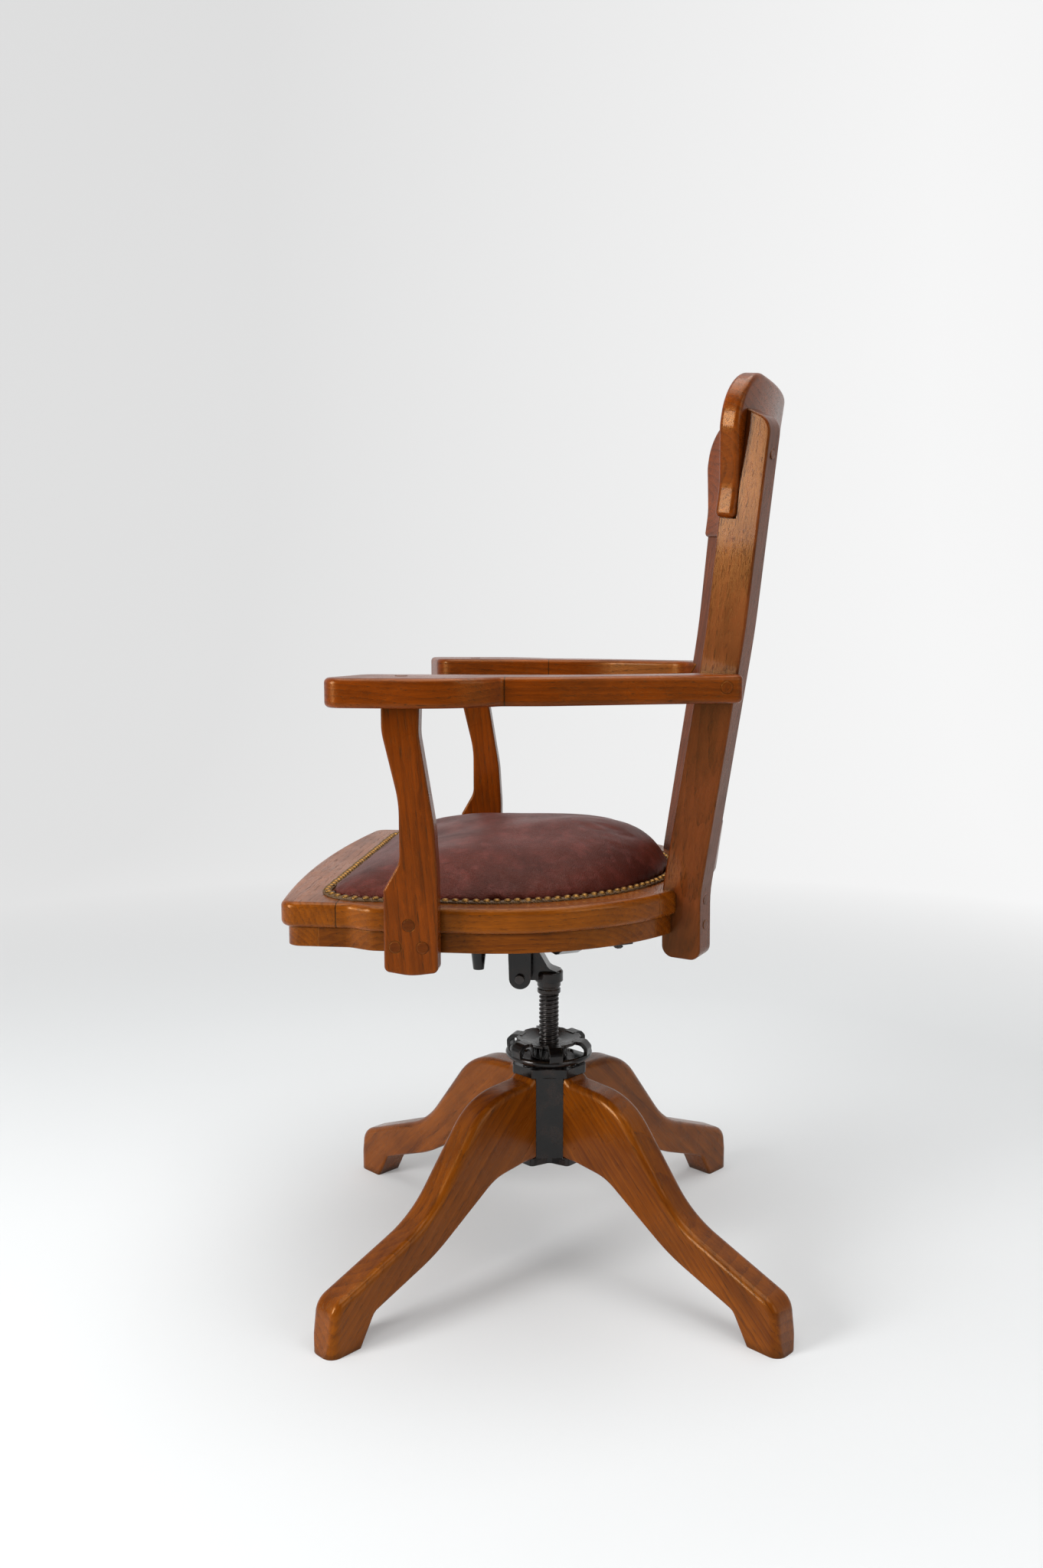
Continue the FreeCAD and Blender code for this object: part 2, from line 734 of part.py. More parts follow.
for side, word in ((1, "left"), (-1, "right")):
    blank = post_blank("post_" + word, side)
    holes = [cylinder("post_hole_%s_%d" % (word, index), spot - way * POST_HOLE_RUNOUT,
                      POST_PLUG_RADIUS, S.plug_depth + POST_HOLE_RUNOUT, along(way))
             for index, (spot, way) in enumerate(post_plug_spots(side))]
    reach = cut("post_lap_" + word, blank, crest_shape)
    node("back_post_" + word, cut("post_cut_" + word, reach, fused("post_holes_" + word, holes)))

post_blanks = fused("post_blanks", [doc.getObject("post_left_soft"),
                                    doc.getObject("post_right_soft")])
rail_band = bowed_board("rail_band", S.rail_radius, S.rail_thickness, 0, 0,
                        "sizes.rail_height", 121.0)
rail_band.Placement = Placement(Vector(0, S.rail_back, S.rail_bottom),
                                Rotation(Vector(1, 0, 0), -S.back_lean))
lower_rail = node("lower_back_rail", cut("lower_rail", rail_band, post_blanks))

plug_items = []
for side in (1, -1):
    for spot, way in post_plug_spots(side):
        plug_items.append(cylinder("post_plug_%d" % len(plug_items), spot - way * PLUG_PROUD,
                                   POST_PLUG_RADIUS, S.plug_depth + PLUG_PROUD, along(way)))
node("post_plugs", group("post_plug_group", plug_items))


def slat(number):
    """A flat slat from the lower rail up to the crest rail, housed a little in both."""
    step = number - (S.slat_count + 1) / 2
    low_x = step * S.slat_pitch
    high_x = low_x * S.slat_spread
    low_mid = S.rail_radius + S.rail_thickness / 2
    high_mid = S.crest_radius + S.crest_thickness / 2
    lean = Rotation(Vector(1, 0, 0), -S.back_lean)
    low_y = math.sqrt(low_mid ** 2 - low_x ** 2) - S.rail_radius
    high_y = math.sqrt(high_mid ** 2 - high_x ** 2) - S.crest_radius
    foot = Vector(0, S.rail_back, S.rail_bottom) + lean.multVec(
        Vector(low_x, low_y, S.rail_height))
    head = Vector(0, S.crest_back, S.crest_bottom) + lean.multVec(Vector(high_x, high_y, 0))
    rise = head - foot
    up = Vector(rise.x, rise.y, rise.z).normalize()
    facing = math.asin((low_x + high_x) / (low_mid + high_mid))
    across = Vector(math.cos(facing), -math.sin(facing), 0)
    turn = Rotation(across, up.cross(across), up, "ZXY")
    name = "slat_%d" % number
    housed = 10.0
    blank = box(name + "_blank", (0, 0, 0), ("sizes.slat_width", "sizes.slat_thickness",
                                              rise.Length + 2 * housed))
    middle = turn.multVec(Vector(S.slat_width / 2, S.slat_thickness / 2, housed))
    blank.Placement = Placement(foot - middle, turn)
    return node(name, cut(name, cut(name + "_lower", blank, lower_rail), crest))


for number in range(1, int(S.slat_count) + 1):
    slat(number)

# The seat frame: a rim in four pieces, and a set-back apron in four pieces under it.
rim_bottom = S.seat_top - S.rim_thickness
apron_bottom = rim_bottom - S.apron_height
rim_ring = cut("rim_ring", slab("rim_outer", seat_edges(0), rim_bottom, "sizes.rim_thickness"),
               slab("rim_inner", seat_edges(S.rail_width), rim_bottom, "sizes.rim_thickness"))
apron_ring = cut("apron_ring",
                 slab("apron_outer", seat_edges(S.apron_inset), apron_bottom,
                      "sizes.apron_height"),
                 slab("apron_inner", seat_edges(S.rail_width - 24), apron_bottom,
                      "sizes.apron_height"))


def outer_edge(edge):
    """The long edges round the outside of the rim."""
    bounds = edge.BoundBox
    farthest = max(abs(bounds.XMin), abs(bounds.XMax), abs(bounds.YMin))
    return bounds.ZLength < 0.01 and farthest > S.seat_front_half - 5


soft_rim = eased("rim_soft", rim_ring, 6.0, outer_edge)


def divided(kind, ring, joint):
    """Divide a ring of the seat frame into its front, left, right and rear pieces."""
    behind = 430.0
    regions = {
        "front": [(-300, joint), (-300, -400), (300, -400), (300, joint)],
        "left": [(0, S.seat_centre), (0, joint), (400, joint), (400, behind)],
        "right": [(0, S.seat_centre), (-400, behind), (-400, joint), (0, joint)],
        "rear": [(0, S.seat_centre), (400, behind), (-400, behind)],
    }
    for word, points in regions.items():
        name = "seat_%s_%s" % (word, kind)
        block = slab(name + "_block", rounded(points), 300.0, 300.0)
        piece = common(name + "_piece", ring, block)
        node(name, piece if word == "front" else cut(name, piece, post_blanks))


divided("rail", soft_rim, S.front_joint)
divided("apron", apron_ring, -S.seat_corner + S.rail_width - 24)

board_bottom = S.seat_top - S.board_thickness
node("seat_board", slab("board", seat_edges(S.rail_width), board_bottom,
                        "sizes.board_thickness"))
node("seat_trim", cut("trim", slab("trim_outer", pad_edges(-S.trim_width), S.seat_top,
                                   "sizes.trim_height"),
                      slab("trim_inner", pad_edges(0), S.seat_top, "sizes.trim_height")))


def seat_pad():
    """The domed leather pad, lofted from its D-shaped outline up to a flat crown."""
    levels = [(0.0, 0.0), (0.14, 2.0), (0.40, 16.0), (0.64, 38.0), (0.84, 70.0), (0.96, 105.0),
              (1.0, 128.0)]
    crown_back = 38.0
    sections = []
    for index, (rise, inset) in enumerate(levels):
        section = doc.addObject("Sketcher::SketchObject", "pad_section_%d" % index)
        section.addGeometry(pad_edges(inset), False)
        section.Placement = Placement(
            Vector(0, crown_back * rise ** 2, S.seat_top + rise * S.pad_height), UPRIGHT)
        sections.append(section)
    loft = doc.addObject("Part::Loft", "pad")
    loft.Sections = sections
    loft.Solid = True
    loft.Ruled = False
    return node("seat_pad", loft)


seat_pad()

# The arm supports, screwed to the sides of the seat frame under round plugs.
PLUG_SPOTS = [(-114.7, 451.0), (-128.3, 429.0), (-101.0, 429.0)]
INWARD = Vector(-1, 0, 0)


def arm_support():
    """A shaped board: upright foot, curved neck, and a head under the arm."""
    foot = S.support_bottom
    top = S.arm_bottom
    return padded("support", "YZ_Plane", rounded([
        (-139.5, foot, 6.0), (-139.5, 485, 3.0), (-123.5, 513, 25.0), (-123.5, 572, 120.0),
        (-139.7, 640, 60.0), (-139.7, top), (-102.3, top), (-103.3, 638, 60.0),
        (-89, 550, 150.0), (-86, 500, 200.0), (-86, foot, 6.0), (-113, foot - 4, 60.0)]),
        "sizes.support_thickness", True)


def plugged(name, spot, way):
    """A round plug at a spot, standing a little proud of the face it fills."""
    return cylinder(name, Vector(*spot) - way * PLUG_PROUD, "sizes.plug_radius",
                    S.plug_depth + PLUG_PROUD, along(way))


def wood_screw(name, spot, way, length):
    """A countersunk screw whose head lies at the bottom of a plug hole."""
    sunk = Vector(*spot) + way * (S.plug_depth + 2.5)
    return screw_with_head(name, sunk, way, S.wood_screw_radius, length, 4.5, 2.5)


support_blank = arm_support()
support_soft = eased("support_soft", support_blank, 2.5,
                     lambda edge: edge.BoundBox.XLength < 0.01 and edge.BoundBox.ZMax > 410)
support_soft.Placement = Placement(
    Vector(S.support_outside - S.support_thickness / 2, 0, 0), UPRIGHT)
support_spots = [(S.support_outside, y, z) for y, z in PLUG_SPOTS]
support_holes = fused("support_holes", [
    cylinder("support_hole_%d" % index, spot, "sizes.plug_radius", "sizes.plug_depth",
             along(INWARD)) for index, spot in enumerate(support_spots)])
support_left = node("arm_support_left", cut("support_left", support_soft, support_holes))
node("arm_support_right", mirrored("support_right", support_left))


def both_sides(name, items):
    """The same small pieces on the sitter's left and right, as one node."""
    left = group(name + "_left", items)
    return node(name, group(name, [left, mirrored(name + "_right", left)]))


both_sides("support_plugs", [plugged("support_plug_%d" % index, spot, INWARD)
                             for index, spot in enumerate(support_spots)])
both_sides("support_screws", [wood_screw("support_screw_%d" % index, spot, INWARD, 30.0)
                              for index, spot in enumerate(support_spots)])


def arm_blank():
    """The arm in plan: a broad paddle in front, a narrow bend to the post behind."""
    body = padded("arm_blank", "XY_Plane", rounded([
        (214, -165, 22.0), (302, -193, 17.0), (304, -60, 110.0), (263, -22, 6.0),
        (258, 20, 120.0), (218, 130, 160.0), (192, 206, 8.0), (168, 206), (140, 170),
        (166, 150, 40.0), (206, 40, 160.0), (213, -50, 60.0)]), "sizes.arm_thickness")
    body.Placement = Placement(Vector(0, 0, S.arm_bottom), UPRIGHT)
    return body


arm_soft = eased("arm_soft", arm_blank(), 5.0, lambda edge: edge.BoundBox.ZLength < 0.01)
arm_lap = cut("arm_lap", arm_soft, post_blanks)
DOWN = Vector(0, 0, -1)
arm_top = (250.0, -121.0, S.arm_bottom + S.arm_thickness)
lap_way = Vector(-76, -26, 0).normalize()
arm_lap_spot = (197.5, 190.0, S.arm_bottom + S.arm_thickness / 2 + 2)
arm_spots = [(arm_top, DOWN), (arm_lap_spot, lap_way)]
arm_holes = fused("arm_holes", [
    cylinder("arm_hole_%d" % index, spot, "sizes.plug_radius", "sizes.plug_depth", along(way))
    for index, (spot, way) in enumerate(arm_spots)])
arm_left = node("arm_left", cut("arm_left_cut", arm_lap, arm_holes))
node("arm_right", mirrored("arm_right_cut", arm_left))
both_sides("arm_plugs", [plugged("arm_plug_%d" % index, spot, way)
                         for index, (spot, way) in enumerate(arm_spots)])
both_sides("arm_screws", [wood_screw("arm_screw_%d" % index, spot, way, 34.0)
                          for index, (spot, way) in enumerate(arm_spots)])
both_sides("post_screws", [wood_screw("post_screw_%d" % index, spot, way, length)
                           for index, ((spot, way), length)
                           in enumerate(zip(post_plug_spots(1), (52.0, 52.0, 28.0)))])

doc.recompute()
faults = [item.Label for item in doc.Objects
          if "Invalid" in item.State or "Error" in item.State]
for name, item in nodes.items():
    if item.Shape.isNull() or not item.Shape.isValid() or not item.Shape.Solids:
        faults.append(name)
if faults:
    raise SystemExit("failed: " + ", ".join(faults))
for name, item in nodes.items():
    bounds = item.Shape.BoundBox
    print("%-20s solids %2d  volume %9.0f  x %6.1f %6.1f  y %6.1f %6.1f  z %6.1f %6.1f" % (
        name, len(item.Shape.Solids), item.Shape.Volume, bounds.XMin, bounds.XMax,
        bounds.YMin, bounds.YMax, bounds.ZMin, bounds.ZMax))
    item.Shape.exportStep("parts/%s.step" % name)
print("nodes", len(nodes))
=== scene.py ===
"""Dresses an oak desk armchair that swivels, tilts and rises on an iron screw.

The joinery and castings come from the frame. This file adds the leather pad with its braid and
nails, the cut thread, the coil spring, the slotted screws, and every finish.
"""
import math
import random

import bmesh
import bpy
import numpy as np
from bpy.props import FloatProperty, FloatVectorProperty, IntProperty, PointerProperty
from mathutils import Matrix, Vector


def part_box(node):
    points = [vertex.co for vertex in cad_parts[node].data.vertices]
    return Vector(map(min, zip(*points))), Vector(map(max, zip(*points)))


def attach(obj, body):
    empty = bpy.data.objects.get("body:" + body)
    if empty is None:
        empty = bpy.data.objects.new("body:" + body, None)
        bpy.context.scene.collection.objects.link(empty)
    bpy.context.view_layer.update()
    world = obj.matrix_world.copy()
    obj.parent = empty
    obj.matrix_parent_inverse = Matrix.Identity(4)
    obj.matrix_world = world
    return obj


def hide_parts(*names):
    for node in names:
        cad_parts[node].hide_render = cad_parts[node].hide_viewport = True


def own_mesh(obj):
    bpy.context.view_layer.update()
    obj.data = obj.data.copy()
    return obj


bl_info = {
    "name": "Oak Swivel Armchair",
    "version": (1, 0, 0),
    "blender": (4, 5, 0),
    "location": "3D View > Sidebar > Armchair",
    "description": "Leather, brass, thread and finishes for an oak desk armchair",
    "category": "Object",
}

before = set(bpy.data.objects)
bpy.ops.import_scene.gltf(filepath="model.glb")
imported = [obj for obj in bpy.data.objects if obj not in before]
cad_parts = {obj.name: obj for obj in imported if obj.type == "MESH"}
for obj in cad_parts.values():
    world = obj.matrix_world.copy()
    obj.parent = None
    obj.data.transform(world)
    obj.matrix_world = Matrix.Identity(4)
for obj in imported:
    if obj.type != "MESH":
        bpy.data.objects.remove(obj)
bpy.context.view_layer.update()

# Places shared with the joinery, in metres: heights above the floor, and the spring's distance
# from the screw's axis.
SCREW_BOTTOM = 0.135
SCREW_TOP = 0.312
SPRING_Y = -0.083
SPRING_BOTTOM = 0.3785
SPRING_TOP = 0.4017
SEAT_TOP = 0.464

# The legs' directions from above, and how far their grain falls for each step outward.
LEG_ANGLES = [math.radians(51.6 + 90 * step) for step in range(4)]
LEG_DROP = -0.95


def tint(red, green, blue):
    """A colour given as the eye reads it, 0 to 255, in the linear values that shaders use."""
    values = []
    for part in (red, green, blue):
        share = part / 255
        values.append(share / 12.92 if share <= 0.04045 else ((share + 0.055) / 1.055) ** 2.4)
    return tuple(values)


def colour(name, description, default):
    return FloatVectorProperty(name=name, description=description, subtype="COLOR", size=3,
                               min=0.0, max=1.0, default=default)


def length(name, description, default):
    return FloatProperty(name=name, description=description, default=default, min=0.0,
                         subtype="DISTANCE", unit="LENGTH")


class ChairSeatSizes(bpy.types.PropertyGroup):
    """Sizes of the leather seat and its trim."""
    half_width: length("Half width", "From the middle to the side of the pad", 0.208)
    front: length("Front", "From the screw's axis forward to the pad's front edge", 0.214)
    corner: length("Corner radius", "Radius of the two front corners", 0.045)
    round_centre: length("Round centre", "How far forward the rear curve's centre lies", 0.070)
    crown: length("Crown", "Height of the pad's crown over the seat frame", 0.058)
    crown_back: length("Crown back", "How far behind the screw the crown lies", 0.054)
    voxel: length("Mesh step", "Size of one mesh step of the stuffed pad", 0.005)
    swell_limit: length("Swell limit", "The most that the leather may swell", 0.008)
    braid_width: length("Braid width", "Width of the braid round the pad", 0.0088)
    nail_pitch: length("Nail pitch", "From one nail to the next along the braid", 0.0102)
    nail_radius: length("Nail radius", "Radius of a nail's head", 0.0041)


class ChairFittingSizes(bpy.types.PropertyGroup):
    """Sizes of the turned and wound metal fittings."""
    thread_pitch: length("Thread pitch", "From one ridge of the thread to the next", 0.005)
    thread_radius: length("Thread radius", "Radius over the ridges", 0.0115)
    thread_root: length("Thread root", "Radius in the grooves", 0.0094)
    spring_radius: length("Spring radius", "Radius of the coil at the wire's middle", 0.011)
    spring_wire: length("Spring wire", "Radius of the wire", 0.0015)
    spring_turns: IntProperty(name="Spring turns", description="Turns of the coil", default=4,
                              min=1)


class ChairFinishes(bpy.types.PropertyGroup):
    """Colours of the chair's materials."""
    oak_light: colour("Oak, light", "Pale wood between the rings", tint(133, 58, 5))
    oak_dark: colour("Oak, dark", "Dark wood of the rings", tint(72, 25, 2))
    oak_pore: colour("Oak, pores", "Open pores filled with old varnish", tint(40, 15, 3))
    leather: colour("Leather", "Ox-blood leather", tint(80, 29, 19))
    leather_dark: colour("Leather, creases", "Dark wax in the creases", tint(56, 19, 13))
    iron: colour("Iron", "Black japanned iron", tint(12, 9, 8))
    rust: colour("Rust", "Thin brown rust on the iron", tint(44, 31, 25))
    steel: colour("Steel", "Darkened steel", tint(62, 58, 57))
    brass: colour("Brass", "Aged brass", tint(128, 92, 44))
    floor: colour("Floor", "Pale studio floor", (0.755, 0.77, 0.775))


class ChairStage(bpy.types.PropertyGroup):
    """Light and camera."""
    key: FloatProperty(name="Key light", description="Power of the large side light",
                       default=70.0, min=0.0, unit="POWER")
    top: FloatProperty(name="Top light", description="Power of the overhead light",
                       default=70.0, min=0.0, unit="POWER")
    fill: FloatProperty(name="Fill light", description="Power of the fill light",
                        default=22.0, min=0.0, unit="POWER")
    world: FloatProperty(name="World light", description="Strength of the even light around",
                         default=0.14, min=0.0)
    lens: FloatProperty(name="Lens", description="Focal length", default=30.26, min=1.0,
                        subtype="DISTANCE_CAMERA")


# Shader nodes


def fill(tree, item, **sockets):
    """Set or connect a node's sockets by name or _number."""
    for name, value in sockets.items():
        key = int(name[1:]) if name.startswith("_") else name.replace("_", " ")
        socket = item.inputs[key]
        if isinstance(value, bpy.types.NodeSocket):
            tree.links.new(value, socket)
        elif socket.type == "RGBA":
            socket.default_value = (*value[:3], 1.0)
        else:
            socket.default_value = value
    return item


def put(tree, kind, settings=None, **sockets):
    """Add a node and set its options and sockets."""
    item = tree.nodes.new("ShaderNode" + kind)
    for name, value in (settings or {}).items():
        setattr(item, name, value)
    return fill(tree, item, **sockets)


def out(item, name=0):
    return item.outputs[name]


def maths(tree, operation, first, second=0.0, clamp=False):
    return out(put(tree, "Math", {"operation": operation, "use_clamp": clamp},
                   _0=first, _1=second))


def times(tree, first, second, clamp=False):
    return maths(tree, "MULTIPLY", first, second, clamp)


def total(tree, first, second, clamp=False):
    return maths(tree, "ADD", first, second, clamp)


def blend_colour(tree, factor, first, second, mode="MIX"):
    return out(put(tree, "Mix", {"data_type": "RGBA", "blend_type": mode}, _0=factor, _6=first,
                   _7=second), 2)


def spread(tree, value, low, high, to_low=0.0, to_high=1.0):
    """Map a range of values onto another, held at both ends."""
    return out(put(tree, "MapRange", {"clamp": True}, Value=value, From_Min=low, From_Max=high,
                   To_Min=to_low, To_Max=to_high))


def stretch(tree, vector, scale):
    return out(put(tree, "Mapping", Vector=vector, Scale=scale))


def noise(tree, vector, scale, detail=2.0, roughness=0.5, distortion=0.0):
    return out(put(tree, "TexNoise", Vector=vector, Scale=scale, Detail=detail,
                   Roughness=roughness, Distortion=distortion), "Fac")


SOCKETS = {"float": "NodeSocketFloat", "vector": "NodeSocketVector", "color": "NodeSocketColor"}


def effect(name, inputs, outputs):
    """An empty shader group with named inputs and outputs."""
    tree = bpy.data.node_groups.new(name, "ShaderNodeTree")
    for socket, kind, value in inputs:
        item = tree.interface.new_socket(socket, in_out="INPUT", socket_type=SOCKETS[kind])
        if kind != "vector":
            item.default_value = value
    for socket, kind in outputs:
        tree.interface.new_socket(socket, in_out="OUTPUT", socket_type=SOCKETS[kind])
    given = tree.nodes.new("NodeGroupInput")
    result = tree.nodes.new("NodeGroupOutput")
    return tree, given.outputs, result.inputs


def oak_grain():
    """Oak with its grain along X: rings, fibres, pores and flecks."""
    tree, given, result = effect("Oak Grain", [
        ("Vector", "vector", None), ("Light", "color", (0.4, 0.2, 0.1, 1)),
        ("Dark", "color", (0.1, 0.05, 0.02, 1)), ("Pore", "color", (0.05, 0.02, 0.01, 1)),
        ("Ring Scale", "float", 50.0), ("Figure", "float", 4.0), ("Tone", "float", 0.5),
    ], [("Color", "color"), ("Roughness", "float"), ("Height", "float")])
    link = tree.links.new
    along = stretch(tree, given["Vector"], (0.085, 1.0, 1.0))
    rings = put(tree, "TexWave", {"wave_type": "RINGS", "rings_direction": "X",
                                  "wave_profile": "SAW"},
                Vector=along, Scale=given["Ring Scale"], Distortion=given["Figure"], Detail=3.0,
                Detail_Scale=0.55, Detail_Roughness=0.55)
    ring = spread(tree, out(rings, "Fac"), 0.05, 0.95)
    fibre = noise(tree, stretch(tree, given["Vector"], (0.05, 1.0, 1.0)), 420.0, 3.0, 0.6)
    streak = noise(tree, stretch(tree, given["Vector"], (0.09, 1.0, 1.0)), 70.0, 3.0, 0.55, 0.6)
    mottle = noise(tree, given["Vector"], 13.0, 3.0, 0.55)
    pores = noise(tree, stretch(tree, given["Vector"], (0.06, 1.0, 1.0)), 1150.0, 1.0, 0.5)
    pore = times(tree, spread(tree, pores, 0.57, 0.68),
                 spread(tree, ring, 0.55, 1.0, 0.35, 1.0))
    flecks = noise(tree, stretch(tree, given["Vector"], (0.3, 1.0, 2.2)), 210.0, 1.0, 0.4)
    fleck = spread(tree, flecks, 0.66, 0.74)
    tone = total(tree, times(tree, ring, 0.22),
                 times(tree, fibre, 0.66))
    tone = total(tree, tone, times(tree, streak, 0.95))
    tone = total(tree, tone, times(tree, mottle, 0.80))
    tone = total(tree, maths(tree, "SUBTRACT", tone, 1.31), given["Tone"], True)
    wood = blend_colour(tree, tone, given["Light"], given["Dark"])
    wood = blend_colour(tree, times(tree, fleck, 0.28), wood, given["Light"])
    wood = blend_colour(tree, times(tree, pore, 0.85), wood, given["Pore"])
    link(wood, result["Color"])
    rough = total(tree, spread(tree, mottle, 0.3, 0.7, 0.21, 0.34),
                  times(tree, pore, 0.22))
    link(rough, result["Roughness"])
    height = maths(tree, "SUBTRACT", times(tree, fibre, 0.35), pore)
    link(total(tree, height, times(tree, mottle, 1.6)), result["Height"])
    return tree


def edge_wear_and_highlight():
    """A mask over the edges of a piece, broken up where hands and feet missed them. Metal lightens
    it as rubbed edges; oak lightens it as wear and as a painted highlight along the eased edges.
    """
    tree, given, result = effect("Edge Wear", [
        ("Vector", "vector", None), ("Radius", "float", 0.002), ("Patches", "float", 60.0),
        ("Amount", "float", 1.0),
    ], [("Mask", "float"), ("Normal", "vector")])
    soft = put(tree, "Bevel", {"samples": 4}, Radius=given["Radius"])
    flat = put(tree, "NewGeometry")
    meet = put(tree, "VectorMath", {"operation": "DOT_PRODUCT"}, _0=out(soft),
               _1=out(flat, "Normal"))
    edge = spread(tree, out(meet, "Value"), 0.995, 0.86)
    patch = spread(tree, noise(tree, given["Vector"], given["Patches"], 3.0, 0.6), 0.38, 0.62)
    mask = times(tree, times(tree, edge, patch), given["Amount"], True)
    tree.links.new(mask, result["Mask"])
    tree.links.new(out(soft), result["Normal"])
    return tree


def grime():
    """Dust and old wax gathered in broad soft patches."""
    tree, given, result = effect("Old Wax", [
        ("Vector", "vector", None), ("Scale", "float", 30.0), ("Low", "float", 0.45),
        ("High", "float", 0.75)], [("Mask", "float")])
    cloud = noise(tree, given["Vector"], given["Scale"], 5.0, 0.62, 0.3)
    tree.links.new(spread(tree, cloud, given["Low"], given["High"]), result["Mask"])
    return tree


def pebbled_hide():
    """The fine pebbles and hairline creases of an old hide."""
    tree, given, result = effect("Pebbled Hide", [
        ("Vector", "vector", None), ("Pebble Scale", "float", 520.0)],
        [("Creases", "float"), ("Height", "float")])
    bent = noise(tree, given["Vector"], 90.0, 2.0, 0.5)
    shift = out(put(tree, "VectorMath", {"operation": "MULTIPLY_ADD"}, _0=bent,
                    _1=(0.004, 0.004, 0.004), _2=given["Vector"]))
    cells = put(tree, "TexVoronoi", {"feature": "DISTANCE_TO_EDGE"}, Vector=shift,
                Scale=given["Pebble Scale"])
    pebble = spread(tree, out(cells, "Distance"), 0.0, 0.22)
    veins = put(tree, "TexVoronoi", {"feature": "DISTANCE_TO_EDGE"},
                Vector=stretch(tree, shift, (1.0, 0.55, 1.0)), Scale=75.0)
    crease = spread(tree, out(veins, "Distance"), 0.05, 0.0)
    fine = noise(tree, given["Vector"], 1500.0, 2.0, 0.6)
    height = total(tree, times(tree, pebble, 0.7),
                   times(tree, fine, 0.3))
    height = maths(tree, "SUBTRACT", height, times(tree, crease, 0.5))
    tree.links.new(crease, result["Creases"])
    tree.links.new(height, result["Height"])
    return tree


def casting_skin():
    """The sand texture and small pits of a casting."""
    tree, given, result = effect("Casting Skin", [
        ("Vector", "vector", None), ("Grain Scale", "float", 500.0)],
        [("Pits", "float"), ("Height", "float")])
    grain = noise(tree, given["Vector"], given["Grain Scale"], 3.0, 0.6)
    lumps = noise(tree, given["Vector"], 90.0, 2.0, 0.5)
    cells = put(tree, "TexVoronoi", {"feature": "F1"}, Vector=given["Vector"], Scale=260.0)
    pits = spread(tree, out(cells, "Distance"), 0.16, 0.06)
    height = total(tree, times(tree, grain, 0.5),
                   times(tree, lumps, 0.8))
    tree.links.new(pits, result["Pits"])
    tree.links.new(maths(tree, "SUBTRACT", height, pits), result["Height"])
    return tree


EFFECTS = {}


def use(tree, name, **sockets):
    """Place a shared effect, which is made the first time that a material asks for it."""
    makers = {"Oak Grain": oak_grain, "Edge Wear": edge_wear_and_highlight, "Old Wax": grime,
              "Pebbled Hide": pebbled_hide, "Casting Skin": casting_skin}
    if name not in EFFECTS:
        EFFECTS[name] = makers[name]()
    return put(tree, "Group", {"node_tree": EFFECTS[name]}, **sockets)


def material(name):
    """A new material: its tree, its surface shader and its object coordinates."""
    item = bpy.data.materials.new(name)
    item.use_nodes = True
    tree = item.node_tree
    shader = tree.nodes["Principled BSDF"]
    place = tree.nodes.new("ShaderNodeTexCoord").outputs["Object"]
    return item, tree, shader, place


def bump(tree, shader, height, distance, strength=1.0, normal=None):
    item = put(tree, "Bump", Height=height, Distance=distance, Strength=strength)
    if normal is not None:
        tree.links.new(normal, item.inputs["Normal"])
    tree.links.new(out(item), shader.inputs["Normal"])


def finishes():
    return bpy.context.scene.chair_finishes


def oak(name, way, middle, offset, ring=6.5, figure=3.5, tone=0.5, light=None, seam=None):
    """Varnished oak, its grain along a direction and its rings round a pith beside the piece, with
    painted shade in its corners and a painted highlight along its edges.
    """
    look = finishes()
    item, tree, shader, place = material(name)
    turn = Vector(way).normalized().rotation_difference(Vector((1, 0, 0)))
    shift = Vector(offset) - turn @ Vector(middle)
    lie = put(tree, "Mapping", Vector=place, Rotation=turn.to_euler(), Location=shift)
    scale = 2 * math.pi / (20 * ring / 1000)
    grain = use(tree, "Oak Grain", Vector=out(lie), Light=light or look.oak_light,
                Dark=look.oak_dark, Pore=look.oak_pore, Ring_Scale=scale, Figure=figure,
                Tone=tone)
    edge_marks = use(tree, "Edge Wear", Vector=place, Radius=0.0022, Patches=38.0, Amount=0.55)
    wax = use(tree, "Old Wax", Vector=place, Scale=16.0, Low=0.5, High=0.8)
    # Painted highlight: the edge mask lightens the eased edges to a pale golden brown, for edge
    # wear and for the highlight that light makes along them.
    wear_and_painted_highlight = blend_colour(tree, out(edge_marks, "Mask"), out(grain, "Color"), tint(165, 98, 30))
    dark = blend_colour(tree, times(tree, out(wax, "Mask"), 0.35), wear_and_painted_highlight,
                        look.oak_pore)
    # Painted shade: ambient occlusion darkens the oak towards near black in corners, under things
    # and between parts, within 14 mm.
    corner = put(tree, "AmbientOcclusion", {"samples": 6}, Distance=0.014)
    painted_corner_shade = spread(tree, out(corner, "AO"), 0.86, 0.42, 0.0, 0.7)
    dark = blend_colour(tree, painted_corner_shade, dark, tint(30, 12, 3))
    if seam is not None:
        across = out(put(tree, "SeparateXYZ", Vector=place), "Y")
        gap = maths(tree, "ABSOLUTE", maths(tree, "SUBTRACT", across, seam))
        line = spread(tree, gap, 0.0009, 0.0004, 0.0, 0.85)
        dark = blend_colour(tree, line, dark, tint(24, 10, 4))
    fill(tree, shader, Base_Color=dark, Roughness=out(grain, "Roughness"),
         Specular_IOR_Level=0.42, Specular_Tint=(1.0, 0.50, 0.14), Coat_Weight=0.08,
         Coat_Roughness=0.07)
    bump(tree, shader, out(grain, "Height"), 0.00025, 0.5, out(edge_marks, "Normal"))
    return item


